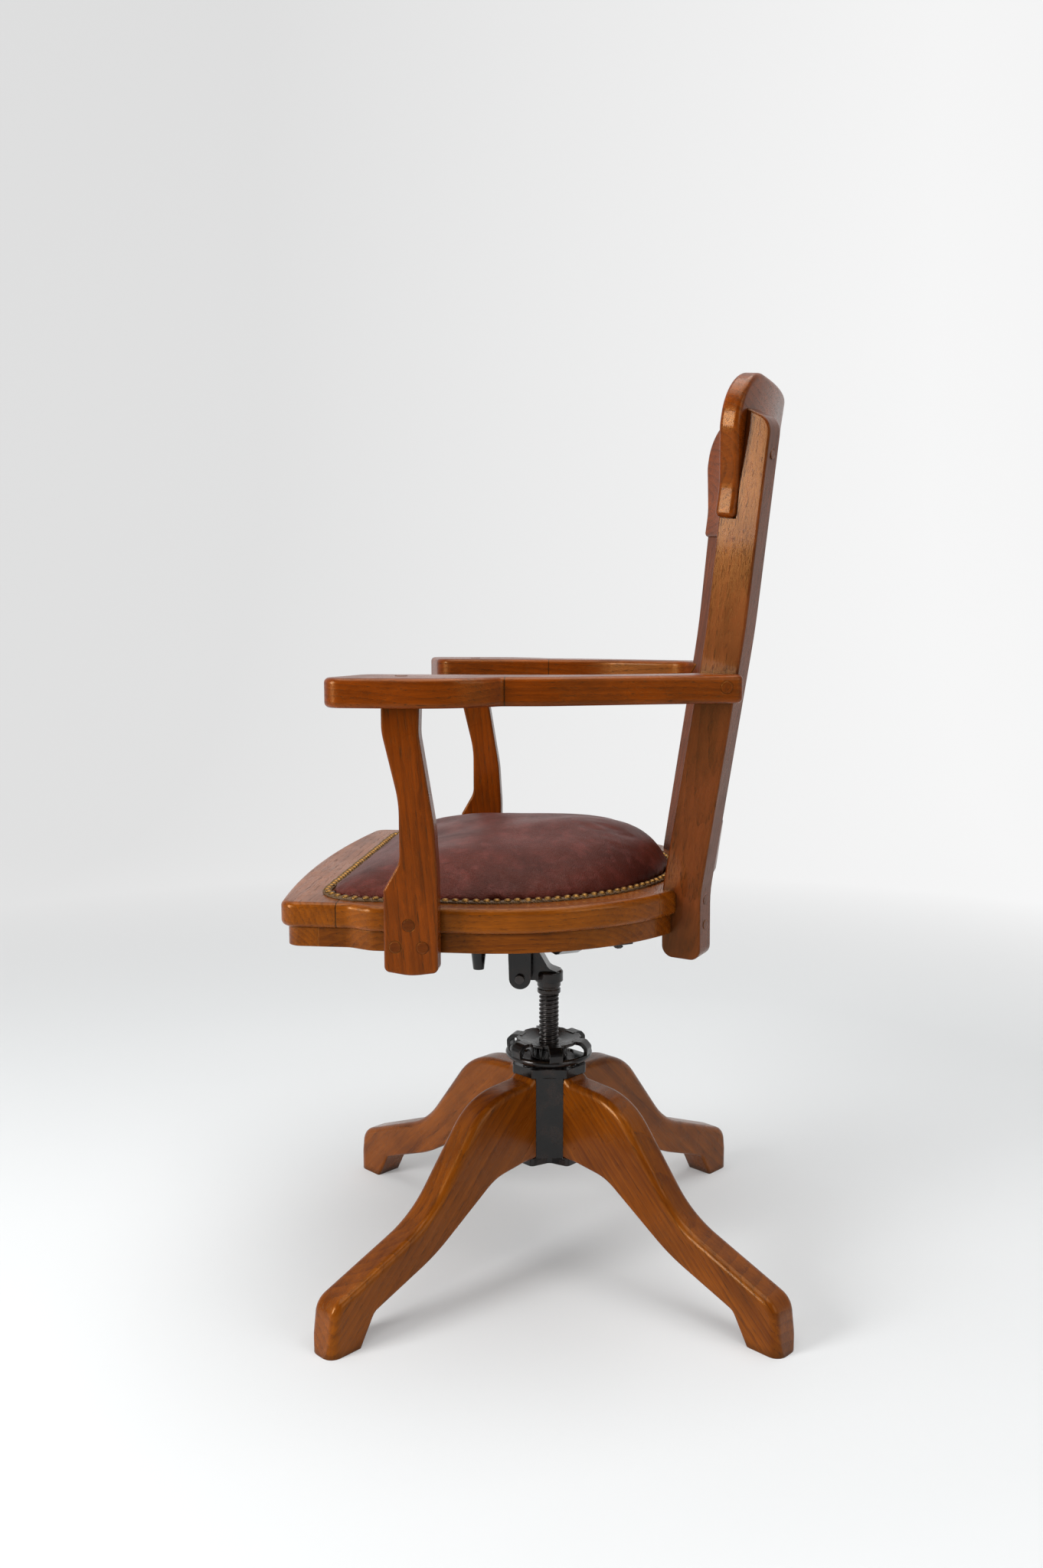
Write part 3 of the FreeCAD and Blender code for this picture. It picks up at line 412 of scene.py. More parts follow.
def metal(name, base, other, grain=500.0, metallic=0.6, rough=(0.38, 0.55), edge_marks=0.5,
          bright=(150, 146, 142), depth=0.0002, coat=0.0, shine=0.5):
    """A cast or turned metal with its skin, thin rust and rubbed edges."""
    item, tree, shader, place = material(name)
    skin = use(tree, "Casting Skin", Vector=place, Grain_Scale=grain)
    rust = use(tree, "Old Wax", Vector=place, Scale=55.0, Low=0.46, High=0.72)
    edges = use(tree, "Edge Wear", Vector=place, Radius=0.0012, Patches=160.0, Amount=edge_marks)
    body = blend_colour(tree, out(rust, "Mask"), base, other)
    body = blend_colour(tree, out(edges, "Mask"), body, tint(*bright))
    fill(tree, shader, Base_Color=body, Metallic=metallic, Specular_IOR_Level=shine,
         Roughness=spread(tree, out(rust, "Mask"), 0.0, 1.0, *rough), Coat_Weight=coat,
         Coat_Roughness=0.12)
    bump(tree, shader, out(skin, "Height"), depth, 0.6, out(edges, "Normal"))
    return item


def hide_material():
    """Ox-blood leather: pebbled, creased, waxed, and paler where it is sat on."""
    look = finishes()
    item, tree, shader, place = material("ox_blood_leather")
    hide = use(tree, "Pebbled Hide", Vector=place, Pebble_Scale=520.0)
    wax = use(tree, "Old Wax", Vector=place, Scale=14.0, Low=0.38, High=0.72)
    rub = use(tree, "Old Wax", Vector=place, Scale=60.0, Low=0.48, High=0.7)
    base = blend_colour(tree, out(wax, "Mask"), look.leather, look.leather_dark)
    base = blend_colour(tree, times(tree, out(rub, "Mask"), 0.25), base,
                        tint(140, 72, 66))
    base = blend_colour(tree, times(tree, out(hide, "Creases"), 0.45), base,
                        look.leather_dark)
    fill(tree, shader, Base_Color=base, Specular_IOR_Level=0.22,
         Roughness=spread(tree, out(wax, "Mask"), 0.0, 1.0, 0.34, 0.48),
         Specular_Tint=(1.0, 0.56, 0.44), Sheen_Weight=0.02, Sheen_Roughness=0.4)
    bump(tree, shader, out(hide, "Height"), 0.0003, 0.8)
    return item


def braid_material():
    """Gilt braid: fine crossing threads dulled by dust."""
    item, tree, shader, place = material("gilt_braid")
    weave = put(tree, "TexWave", {"wave_type": "BANDS", "bands_direction": "DIAGONAL"},
                Vector=place, Scale=260.0, Distortion=1.5)
    dust = use(tree, "Old Wax", Vector=place, Scale=90.0, Low=0.4, High=0.7)
    base = blend_colour(tree, out(weave, "Fac"), tint(58, 38, 18), tint(122, 88, 44))
    base = blend_colour(tree, times(tree, out(dust, "Mask"), 0.5), base,
                        tint(66, 44, 24))
    fill(tree, shader, Base_Color=base, Roughness=0.6)
    bump(tree, shader, out(weave, "Fac"), 0.0003, 0.8)
    return item


# Making pieces


def finished(bm, name, body, stuff, sharp=math.radians(38)):
    """Turn a bmesh into a piece at the origin that rides on a body."""
    bmesh.ops.recalc_face_normals(bm, faces=bm.faces)
    for face in bm.faces:
        face.smooth = True
    for edge in bm.edges:
        edge.smooth = len(edge.link_faces) != 2 or edge.calc_face_angle(0.0) < sharp
    mesh = bpy.data.meshes.new(name)
    bm.to_mesh(mesh)
    bm.free()
    mesh.materials.append(stuff)
    piece = bpy.data.objects.new(name, mesh)
    bpy.context.scene.collection.objects.link(piece)
    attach(piece, body)
    return piece


def copied(bm, source, matrix):
    """Add a transformed copy of one bmesh to another."""
    mesh = bpy.data.meshes.new("copy")
    source.to_mesh(mesh)
    mesh.transform(matrix)
    bm.from_mesh(mesh)
    bpy.data.meshes.remove(mesh)


def cut(bm, place, way, clear=True):
    """Cut a mesh along a plane, and clear what lies beyond it."""
    bmesh.ops.bisect_plane(bm, geom=bm.verts[:] + bm.edges[:] + bm.faces[:], plane_co=place,
                           plane_no=way, clear_outer=clear)


def cap_open_ends(bm):
    """Close every open loop with a face."""
    edges = [edge for edge in bm.edges if edge.is_boundary]
    bmesh.ops.holes_fill(bm, edges=edges, sides=0)


def pad_runs():
    """The lengths along half of the pad's edge: front, corner, side and rear curve."""
    size = bpy.context.scene.chair_seat
    wide, corner = size.half_width, size.corner
    return (wide - corner, corner * math.pi / 2, size.front - size.round_centre - corner,
            wide * math.pi / 2)


def pad_edge(run):
    """A point on the pad's edge and its outward direction, at a run from the front middle."""
    size = bpy.context.scene.chair_seat
    wide, front, corner = size.half_width, -size.front, size.corner
    lengths = pad_runs()
    half = sum(lengths)
    run = run % (2 * half)
    side = 1 if run <= half else -1
    run = run if side == 1 else 2 * half - run
    if run <= lengths[0]:
        return Vector((side * run, front, 0)), Vector((0, -1, 0))
    run -= lengths[0]
    if run <= lengths[1]:
        turn = run / corner
        normal = Vector((side * math.sin(turn), -math.cos(turn), 0))
        return Vector((side * (wide - corner), front + corner, 0)) + normal * corner, normal
    run -= lengths[1]
    if run <= lengths[2]:
        return Vector((side * wide, front + corner + run, 0)), Vector((side, 0, 0))
    turn = (run - lengths[2]) / wide
    normal = Vector((side * math.cos(turn), math.sin(turn), 0))
    return Vector((0, -size.round_centre, 0)) + normal * wide, normal


def pad_perimeter():
    return 2 * sum(pad_runs())


def edge_loop(bm, steps, offset, height):
    """A closed loop of edges along the pad's edge."""
    perimeter = pad_perimeter()
    verts = []
    for step in range(steps):
        spot, normal = pad_edge(perimeter * step / steps)
        verts.append(bm.verts.new(spot + normal * offset + Vector((0, 0, height))))
    return [bm.edges.new((verts[index - 1], verts[index])) for index in range(steps)]


def drawn_up(bm, edges):
    """Extrude a loop of edges and return the new loop and its points."""
    made = bmesh.ops.extrude_edge_only(bm, edges=edges)["geom"]
    return ([item for item in made if isinstance(item, bmesh.types.BMEdge)
             and item.is_boundary and item not in edges],
            [item for item in made if isinstance(item, bmesh.types.BMVert)])


# The leather as cloth that a slight pressure swells from inside.
CLOTH = {"quality": 6, "mass": 0.4, "tension_stiffness": 40, "compression_stiffness": 40,
         "bending_stiffness": 2.0, "use_pressure": True, "uniform_pressure_force": 4.0,
         "vertex_group_mass": "held"}
CLOTH_STEPS = 20
HELD_HEIGHT = 0.006


def swelled(piece):
    """Blow the pad up as stuffed leather held round its lower edge, and cap how far it moves."""
    size = bpy.context.scene.chair_seat
    scene = bpy.context.scene
    even = piece.modifiers.new("even", "REMESH")
    even.mode = "VOXEL"
    even.voxel_size = size.voxel
    mesh = bpy.data.meshes.new_from_object(piece.evaluated_get(
        bpy.context.evaluated_depsgraph_get()))
    piece.modifiers.clear()
    piece.data = mesh
    count = len(mesh.vertices)
    rest = np.empty(count * 3)
    mesh.vertices.foreach_get("co", rest)
    rest = rest.reshape(-1, 3)
    held = piece.vertex_groups.new(name="held")
    low = [int(index) for index in np.nonzero(rest[:, 2] < SEAT_TOP + HELD_HEIGHT)[0]]
    held.add(low, 1.0, "REPLACE")
    cloth = piece.modifiers.new("swell", "CLOTH")
    for name, value in CLOTH.items():
        setattr(cloth.settings, name, value)
    cloth.settings.effector_weights.gravity = 0
    for step in range(1, CLOTH_STEPS + 1):
        scene.frame_set(step)
    result = piece.evaluated_get(bpy.context.evaluated_depsgraph_get())
    moved = np.empty(count * 3)
    result.data.vertices.foreach_get("co", moved)
    moved = moved.reshape(-1, 3) - rest
    scene.frame_set(1)
    piece.modifiers.clear()
    far = np.linalg.norm(moved, axis=1, keepdims=True)
    moved *= np.minimum(1.0, size.swell_limit / np.maximum(far, 1e-9))
    piece.vertex_groups.clear()
    return rest + moved


# The relief of the leather, in metres: gathers at the nailed edge, and two hollows sat into it.
EDGE_POINTS = 900
BLOCK = 2000
GATHER_HEIGHT, GATHER_REACH, GATHER_SWELL = 0.0007, 0.034, 0.055
HOLLOW_SIDE, HOLLOW_FRONT = 0.07, 0.04
HOLLOW_WIDE, HOLLOW_LONG, HOLLOW_DEPTH = 0.06, 0.08, 0.004


def pad_relief(points):
    """Gathers at the nailed edge and soft hollows where the stuffing has settled."""
    size = bpy.context.scene.chair_seat
    perimeter = pad_perimeter()
    runs = np.array([perimeter * step / EDGE_POINTS for step in range(EDGE_POINTS)])
    edge = np.array([pad_edge(run)[0][:2] for run in runs])
    shaped = points.copy()
    for start in range(0, len(points), BLOCK):
        block = points[start:start + BLOCK]
        gap = np.linalg.norm(block[:, None, :2] - edge[None], axis=2)
        nearest = gap.argmin(1)
        away = gap.min(1)
        up = np.clip((block[:, 2] - SEAT_TOP) / 0.004, 0, 1)
        fade = np.clip(1 - away / GATHER_REACH, 0, 1) ** 2 * up
        wave = np.cos(runs[nearest] / (2 * size.nail_pitch) * 2 * math.pi)
        wave += 0.5 * np.cos(runs[nearest] / GATHER_SWELL * 2 * math.pi + 1.0)
        shaped[start:start + BLOCK, 2] += GATHER_HEIGHT * wave * fade
        soft = np.clip(away / 0.08, 0, 1) * up
        x, y = block[:, 0], block[:, 1]
        hollow = (0.0012 * np.sin(x * 31 + 0.7) * np.sin(y * 27 + 1.1)
                  + 0.0008 * np.sin(x * 63 + y * 21))
        long = ((y + HOLLOW_FRONT) / HOLLOW_LONG) ** 2
        sat = HOLLOW_DEPTH * (np.exp(-(((x - HOLLOW_SIDE) / HOLLOW_WIDE) ** 2 + long))
                              + np.exp(-(((x + HOLLOW_SIDE) / HOLLOW_WIDE) ** 2 + long)))
        shaped[start:start + BLOCK, 2] += (hollow - sat * 0.6) * soft
    return shaped


# The pad's profile: how much of the outline is left, and the share of the crown's height there.
PAD_RINGS = ((1.0, 0.07), (0.975, 0.17), (0.93, 0.29), (0.86, 0.43), (0.76, 0.58),
             (0.63, 0.73), (0.48, 0.86), (0.31, 0.95), (0.14, 0.995))
PAD_STEPS = 132
PAD_INSET = 0.0015
PAD_LIFT = 0.0004


class ChairPadOperator(bpy.types.Operator):
    """Make the stuffed leather pad"""
    bl_idname = "chair.pad"
    bl_label = "Leather pad"

    def execute(self, context):
        size = context.scene.chair_seat
        bm = bmesh.new()
        loop = edge_loop(bm, PAD_STEPS, -PAD_INSET, SEAT_TOP + PAD_LIFT)
        bmesh.ops.contextual_create(bm, geom=loop)
        share, height = 1.0, PAD_LIFT
        crown = Matrix.Translation((0, size.crown_back, 0))
        for wanted, rise in PAD_RINGS:
            loop, verts = drawn_up(bm, loop)
            step = wanted / share
            bmesh.ops.scale(bm, vec=(step, step, 1), space=crown.inverted(), verts=verts)
            target = rise * (size.crown - 0.004)
            bmesh.ops.translate(bm, vec=(0, 0, target - height), verts=verts)
            share, height = wanted, target
        bmesh.ops.contextual_create(bm, geom=loop)
        pad = finished(bm, "leather_pad", "seat", hide_material())
        pad.parent = None
        shaped = pad_relief(swelled(pad))
        pad.data.vertices.foreach_set("co", shaped.ravel())
        pad.data.update()
        pad.data.materials.clear()
        pad.data.materials.append(bpy.data.materials["ox_blood_leather"])
        pad.data.shade_smooth()
        smooth = pad.modifiers.new("smooth", "SUBSURF")
        smooth.levels = smooth.render_levels = 1
        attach(pad, "seat")
        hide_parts("seat_pad")
        return {"FINISHED"}


class ChairTrimOperator(bpy.types.Operator):
    """Make the gilt braid and the brass nails round the pad"""
    bl_idname = "chair.trim"
    bl_label = "Braid and nails"

    def execute(self, context):
        size = context.scene.chair_seat
        wide = size.braid_width
        bm = bmesh.new()
        loop = edge_loop(bm, 620, 0.0, SEAT_TOP + 0.0002)
        first = loop
        levels = ((0.0, 0.0020), (wide * 0.5, 0.0030), (wide, 0.0018), (wide, 0.0002))
        for offset, height in levels:
            loop, verts = drawn_up(bm, loop)
            for vert in verts:
                run = self.run_of(vert.co, size)
                spot, normal = pad_edge(run)
                ripple = 0.00025 * math.sin(run * 2 * math.pi / 0.0042)
                scallop = 0.0006 * math.cos(run * 2 * math.pi / size.nail_pitch)
                reach = offset + (scallop if offset == wide else 0.0)
                rise = height + (ripple if height > 0.001 else 0.0)
                vert.co = spot + normal * reach + Vector((0, 0, SEAT_TOP + rise))
        bmesh.ops.bridge_loops(bm, edges=first + loop)
        braid = finished(bm, "seat_braid", "seat", braid_material())
        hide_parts("seat_trim")
        look = finishes()
        head = bmesh.new()
        bmesh.ops.create_uvsphere(head, u_segments=12, v_segments=8, radius=size.nail_radius)
        cut(head, (0, 0, 0), (0, 0, -1))
        bmesh.ops.scale(head, vec=(1, 1, 0.62), verts=head.verts)
        cap_open_ends(head)
        nails = bmesh.new()
        count = round(pad_perimeter() / size.nail_pitch)
        draw = random.Random(7)
        for step in range(count):
            spot, normal = pad_edge(pad_perimeter() * (step + draw.uniform(-0.04, 0.04)) / count)
            lift = Vector((0, 0, SEAT_TOP + 0.0024 + draw.uniform(-0.0002, 0.0002)))
            place = Matrix.Translation(spot + normal * wide * 0.5 + lift)
            lean = Matrix.Rotation(draw.uniform(-0.12, 0.12), 4, "X")
            lean @= Matrix.Rotation(draw.uniform(-0.12, 0.12), 4, "Y")
            copied(nails, head, place @ lean)
        head.free()
        brass = metal("aged_brass", look.brass, tint(120, 84, 40), 900.0, 0.9, (0.30, 0.50), 0.4,
                      (176, 138, 80), 0.0001)
        finished(nails, "seat_nails", "seat", brass, math.radians(60))
        return {"FINISHED"}

    def run_of(self, spot, size):
        """The run along the pad's edge nearest to a point beside it."""
        wide, front, corner = size.half_width, -size.front, size.corner
        flat, bend, straight, _ = pad_runs()
        x, y = abs(spot.x), spot.y
        if y > -size.round_centre:
            run = flat + bend + straight + wide * math.atan2(y + size.round_centre, x)
        elif y > front + corner:
            run = flat + bend + y - front - corner
        elif x > flat:
            run = flat + corner * math.atan2(x - flat, front + corner - y)
        else:
            run = x
        return run if spot.x >= 0 else pad_perimeter() - run


def profile(bm, points):
    """A line of edges through points given as a radius and a height."""
    verts = [bm.verts.new((radius, 0, height)) for radius, height in points]
    return verts + [bm.edges.new(pair) for pair in zip(verts, verts[1:])]


def helix(bm, shape, turns, steps, pitch):
    """Spin a shape up the Z axis as a right-hand helix."""
    bmesh.ops.spin(bm, geom=shape, cent=(0, 0, 0), axis=(0, 0, 1),
                   dvec=(0, 0, pitch / steps), angle=2 * math.pi * turns, steps=steps * turns,
                   use_merge=False, use_duplicate=False)
    bmesh.ops.remove_doubles(bm, verts=bm.verts, dist=1e-6)


# The collar and tenon over the thread: radius, and height above the thread's top.
COLLAR = ((0.0085, -0.0006), (0.0128, 0.0), (0.0136, 0.0012), (0.0136, 0.005),
          (0.0127, 0.0062), (0.0127, 0.0078), (0.0138, 0.009), (0.0138, 0.015),
          (0.0068, 0.015), (0.0068, 0.027))


class ChairScrewOperator(bpy.types.Operator):
    """Make the height screw with its cut thread"""
    bl_idname = "chair.screw"
    bl_label = "Height screw"

    def execute(self, context):
        size = context.scene.chair_fittings
        look = finishes()
        pitch, outer, root = size.thread_pitch, size.thread_radius, size.thread_root
        bm = bmesh.new()
        start = SCREW_BOTTOM - pitch
        ridge = ((root, 0.0), (root, 0.26), (outer - 0.0003, 0.40), (outer, 0.46), (outer, 0.80),
                 (outer - 0.0003, 0.86), (root, 1.0))
        shape = profile(bm, [(radius, start + share * pitch) for radius, share in ridge])
        turns = math.ceil((SCREW_TOP - SCREW_BOTTOM) / pitch) + 2
        helix(bm, shape, turns, 30, pitch)
        for height, way in ((SCREW_BOTTOM + 0.0002, -1), (SCREW_TOP + 0.0005, 1)):
            cut(bm, (0, 0, height), (0, 0, way))
        cap_open_ends(bm)
        steel = metal("dark_thread_steel", look.steel, look.iron, 900.0, 0.85, (0.28, 0.46), 0.5,
                      (170, 166, 162), 0.0001)
        screw = finished(bm, "threaded_screw", "spindle", steel, math.radians(50))
        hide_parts("height_screw")
        collar = bmesh.new()
        turned = profile(collar, [(radius, SCREW_TOP + rise) for radius, rise in COLLAR])
        bmesh.ops.spin(collar, geom=turned, cent=(0, 0, 0), axis=(0, 0, 1),
                       angle=2 * math.pi, steps=64, use_merge=True, use_duplicate=False)
        cap_open_ends(collar)
        iron = bpy.data.materials["black_iron"]
        finished(collar, "screw_collar", "spindle", iron, math.radians(30))
        return {"FINISHED"}


class ChairSpringOperator(bpy.types.Operator):
    """Make the tilt spring, which flattens as the seat tips back"""
    bl_idname = "chair.spring"
    bl_label = "Tilt spring"

    def execute(self, context):
        size = context.scene.chair_fittings
        wire, radius, turns = size.spring_wire, size.spring_radius, size.spring_turns
        rise = (SPRING_TOP - SPRING_BOTTOM - 2 * wire) / turns
        bm = bmesh.new()
        ring = bmesh.ops.create_circle(bm, segments=12, radius=wire)["verts"]
        bmesh.ops.rotate(bm, verts=ring, matrix=Matrix.Rotation(math.pi / 2, 3, "X"))
        bmesh.ops.translate(bm, verts=ring, vec=(radius, 0, SPRING_BOTTOM + wire))
        helix(bm, ring + bm.edges[:], turns, 36, rise)
        cap_open_ends(bm)
        bmesh.ops.translate(bm, verts=bm.verts, vec=(0, SPRING_Y, 0))
        steel = metal("spring_steel", finishes().steel, finishes().rust, 900.0, 0.85, (0.3, 0.5))
        spring = finished(bm, "coil_spring", "spindle", steel, math.radians(60))
        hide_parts("tilt_spring")
        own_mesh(spring)
        return {"FINISHED"}


HEAD_HEIGHT = 0.0026


def slotted_head(radius, height):
    """A domed screw head with a slot across it."""
    bm = bmesh.new()
    bmesh.ops.create_uvsphere(bm, u_segments=24, v_segments=12, radius=radius)
    cut(bm, (0, 0, 0), (0, 0, -1))
    bmesh.ops.scale(bm, vec=(1, 1, height / radius), verts=bm.verts)
    slot = radius * 0.13
    for place in (-slot * 1.15, -slot, slot, slot * 1.15):
        cut(bm, (place, 0, 0), (1, 0, 0), clear=False)
    sunk = [vert for vert in bm.verts if abs(vert.co.x) < slot * 1.05 and vert.co.z > height * 0.3]
    for vert in sunk:
        vert.co.z = height * 0.3
    cap_open_ends(bm)
    return bm


class ChairScrewHeadsOperator(bpy.types.Operator):
    """Make the slotted heads of the screws that hold the iron to the wood"""
    bl_idname = "chair.screw_heads"
    bl_label = "Screw heads"

    def execute(self, context):
        look = finishes()
        steel = metal("screw_steel", look.steel, look.rust, 900.0, 0.9, (0.25, 0.45), 0.6,
                      (190, 186, 180), 0.0001)
        draw = random.Random(11)
        rows = (("hub_top_screws", "base", 0.0055, 1), ("hub_bottom_screws", "base", 0.0055, -1),
                ("bracket_screws", "seat", 0.0050, -1))
        for node, body, radius, way in rows:
            head = slotted_head(radius, HEAD_HEIGHT)
            bm = bmesh.new()
            for spot in self.heads(node, way):
                turn = Matrix.Rotation(draw.uniform(0, math.pi), 4, "Z")
                flip = Matrix.Identity(4) if way == 1 else Matrix.Rotation(math.pi, 4, "X")
                copied(bm, head, Matrix.Translation(spot) @ flip @ turn)
            head.free()
            piece = finished(bm, node.replace("_screws", "_screw_heads"), body, steel)
            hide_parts(node)
        return {"FINISHED"}

    def heads(self, node, way):
        """The middle of the flat under each screw head, read from the frame's own solids."""
        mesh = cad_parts[node].data
        points = [vert.co.copy() for vert in mesh.vertices]
        edge = max(point.z * way for point in points) * way
        tops = [point for point in points if abs(point.z - edge) < 1e-5]
        spots = []
        for point in tops:
            near = [other for other in spots if (other[0] - point).length < 0.0125]
            if near:
                near[0][1].append(point)
            else:
                spots.append((point, [point]))
        middles = []
        for _, group in spots:
            low = Vector(map(min, zip(*group)))
            high = Vector(map(max, zip(*group)))
            middle = (low + high) / 2
            middles.append(Vector((middle.x, middle.y, edge - way * 0.0025)))
        return middles


# Finishes of the frame's own pieces

# Grain direction, pith beside the piece, ring width in mm, figure, tone.
OAK_PIECES = {
    "seat_front_rail": ((1, 0, 0), (0.3, 0.05, 0.03), 6.0, 3.0, 0.36),
    "seat_front_apron": ((1, 0, 0), (0.7, 0.04, 0.06), 5.0, 3.0, 0.58),
    "seat_left_rail": ((-0.2, 1, 0), (0.5, 0.05, 0.04), 6.0, 3.5, 0.34),
    "seat_right_rail": ((0.2, 1, 0), (0.1, 0.05, 0.05), 6.0, 3.5, 0.36),
    "seat_left_apron": ((-0.2, 1, 0), (0.2, 0.06, 0.03), 5.0, 3.0, 0.60),
    "seat_right_apron": ((0.2, 1, 0), (0.6, 0.06, 0.03), 5.0, 3.0, 0.60),
    "seat_rear_rail": ((1, 0, 0), (0.9, 0.05, 0.05), 6.0, 3.5, 0.44),
    "seat_rear_apron": ((1, 0, 0), (0.4, 0.06, 0.04), 5.0, 3.0, 0.60),
    "arm_left": ((-0.2, 1, 0), (0.2, 0.03, 0.05), 6.0, 4.0, 0.52),
    "arm_right": ((0.2, 1, 0), (0.8, 0.04, 0.04), 6.0, 4.0, 0.56),
    "arm_support_left": ((0, -0.1, 1), (0.5, 0.04, 0.06), 6.0, 3.0, 0.58),
    "arm_support_right": ((0, -0.1, 1), (0.3, 0.05, 0.06), 6.0, 3.0, 0.56),
    "back_post_left": ((0.05, 0.19, 1), (0.4, 0.012, 0.045), 7.0, 9.0, 0.66),
    "back_post_right": ((-0.05, 0.19, 1), (0.6, 0.03, 0.05), 7.0, 6.0, 0.64),
    "crest_rail": ((1, 0, 0), (0.2, 0.05, 0.02), 7.0, 4.0, 0.50),
    "lower_back_rail": ((1, 0, 0), (0.5, 0.05, 0.02), 6.0, 3.0, 0.56),
    "slat_1": ((-0.05, 0.12, 1), (0.1, 0.04, 0.05), 6.0, 3.0, 0.54),
    "slat_2": ((-0.02, 0.12, 1), (0.3, 0.05, 0.04), 6.0, 3.0, 0.50),
    "slat_3": ((0, 0.12, 1), (0.5, 0.04, 0.06), 6.0, 3.0, 0.56),
    "slat_4": ((0.02, 0.12, 1), (0.7, 0.05, 0.05), 6.0, 3.0, 0.52),
    "slat_5": ((0.05, 0.12, 1), (0.9, 0.04, 0.04), 6.0, 3.0, 0.50),
    "arm_plugs": ((0.4, 0.3, 1), (0.3, 0.02, 0.02), 4.0, 2.0, 0.62),
    "support_plugs": ((0, 1, 0.2), (0.3, 0.02, 0.02), 4.0, 2.0, 0.85),
    "post_plugs": ((0.3, 0.3, 1), (0.3, 0.02, 0.02), 4.0, 2.0, 0.85),
}

# Pale wood of the legs and the seat; and of the two back posts, pinkish to paint in a sheen of
# reflected light.
YELLOW_OAK = tint(140, 72, 10)
POST_OAK_PAINTED_SHEEN = tint(118, 54, 22)

# Glued joints that show as dark lines across a piece: how far back each lies.
SEAMS = {"seat_front_rail": -0.195, "seat_left_rail": -0.195, "seat_right_rail": -0.195,
         "arm_left": -0.020, "arm_right": -0.020}


def dress(node, stuff):
    """Give one of the frame's pieces a material."""
    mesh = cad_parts[node].data
    mesh.materials.clear()
    mesh.materials.append(stuff)


class ChairTimberOperator(bpy.types.Operator):
    """Give every wooden piece its own run of oak"""
    bl_idname = "chair.timber"
    bl_label = "Timber"

    def execute(self, context):
        rows = dict(OAK_PIECES)
        for number, angle in enumerate(LEG_ANGLES, start=1):
            way = (math.cos(angle), math.sin(angle), LEG_DROP)
            rows["leg_%d" % number] = (way, (0.2 * number, 0.03, 0.05), 6.5, 3.0, 0.46)
        for node, (way, offset, ring, figure, tone) in rows.items():
            low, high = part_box(node)
            light = None
            if node.startswith(("leg_", "seat_")):
                light = YELLOW_OAK
            elif node.startswith("back_post"):
                # Painted reflection: the back posts' pinkish pale wood stands for the sheen of
                # reflected light on their faces.
                light = POST_OAK_PAINTED_SHEEN
            dress(node, oak("oak_" + node, way, (low + high) / 2, offset, ring, figure, tone,
                            light, SEAMS.get(node)))
        low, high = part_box("seat_board")
        dress("seat_board", oak("board_pine", (0, 1, 0), (low + high) / 2, (0.3, 0.1, 0.05), 9.0,
                                3.0, 0.3, tint(205, 165, 110)))
        return {"FINISHED"}


class ChairIronOperator(bpy.types.Operator):
    """Give the castings and turned parts their metal"""
    bl_idname = "chair.ironwork"
    bl_label = "Ironwork"

    def execute(self, context):
        look = finishes()
        iron = metal("black_iron", look.iron, look.rust, 520.0, 0.25, (0.20, 0.36), 0.6,
                     (92, 84, 78), 0.00025, 0.25, 0.3)
        for node in ("hub_casting", "hub_bottom_plate", "handwheel", "tilt_head", "tilt_bracket",
                     "tension_knob"):
            dress(node, iron)
        steel = metal("dark_steel", look.steel, look.rust, 900.0, 0.85, (0.3, 0.5), 0.5,
                      (170, 166, 162), 0.0001)
        for node in ("thrust_washer", "head_cross_pin", "pivot_pin", "tension_bolt",
                     "spring_washer", "support_screws", "arm_screws", "post_screws"):
            dress(node, steel)
        dress("hub_bush", metal("bush_brass", look.brass, tint(120, 84, 40), 900.0, 0.9,
                                (0.3, 0.5), 0.4, (222, 186, 120), 0.0001))
        return {"FINISHED"}


# Stage


def lamp(name, spot, aim, power, size):
    data = bpy.data.lights.new(name, "AREA")
    data.shape = "RECTANGLE"
    data.size, data.size_y = size
    data.energy = power
    item = bpy.data.objects.new(name, data)
    item.location = spot
    item.rotation_euler = (Vector(aim) - Vector(spot)).to_track_quat("-Z", "Y").to_euler()
    bpy.context.scene.collection.objects.link(item)


# The studio: a floor that bends up into a backdrop, in metres, and the part of it that glows.
FLOOR_FRONT, FLOOR_BACK, FLOOR_SIDE = 6.0, -2.4, 6.0
BEND_RADIUS = 1.8
BACKDROP_RISE = 4.0
GLOW_ALONG = (-1.6, 1.2, 0.80, 1.0)
GLOW_AWAY = (1.1, 2.3, 0.22, 0.88)
PALE_WORLD = 0.9

# Each lamp: where it stands, what it points at, and its two sides.
LAMPS = {"key": ((1.7, -2.1, 1.3), (0, 0, 0.5), (0.9, 1.3)),
         "top": ((0.2, 0.1, 2.9), (0, 0, 0.4), (2.4, 2.4)),
         "fill": ((1.6, 2.3, 1.5), (0, 0, 0.5), (1.6, 1.8))}

CAMERA_PLACE = (1.4947, 0.1305, 0.7526)
CAMERA_HEADING = (-0.9941, -0.1083)
CAMERA_PITCH = math.radians(7.39)


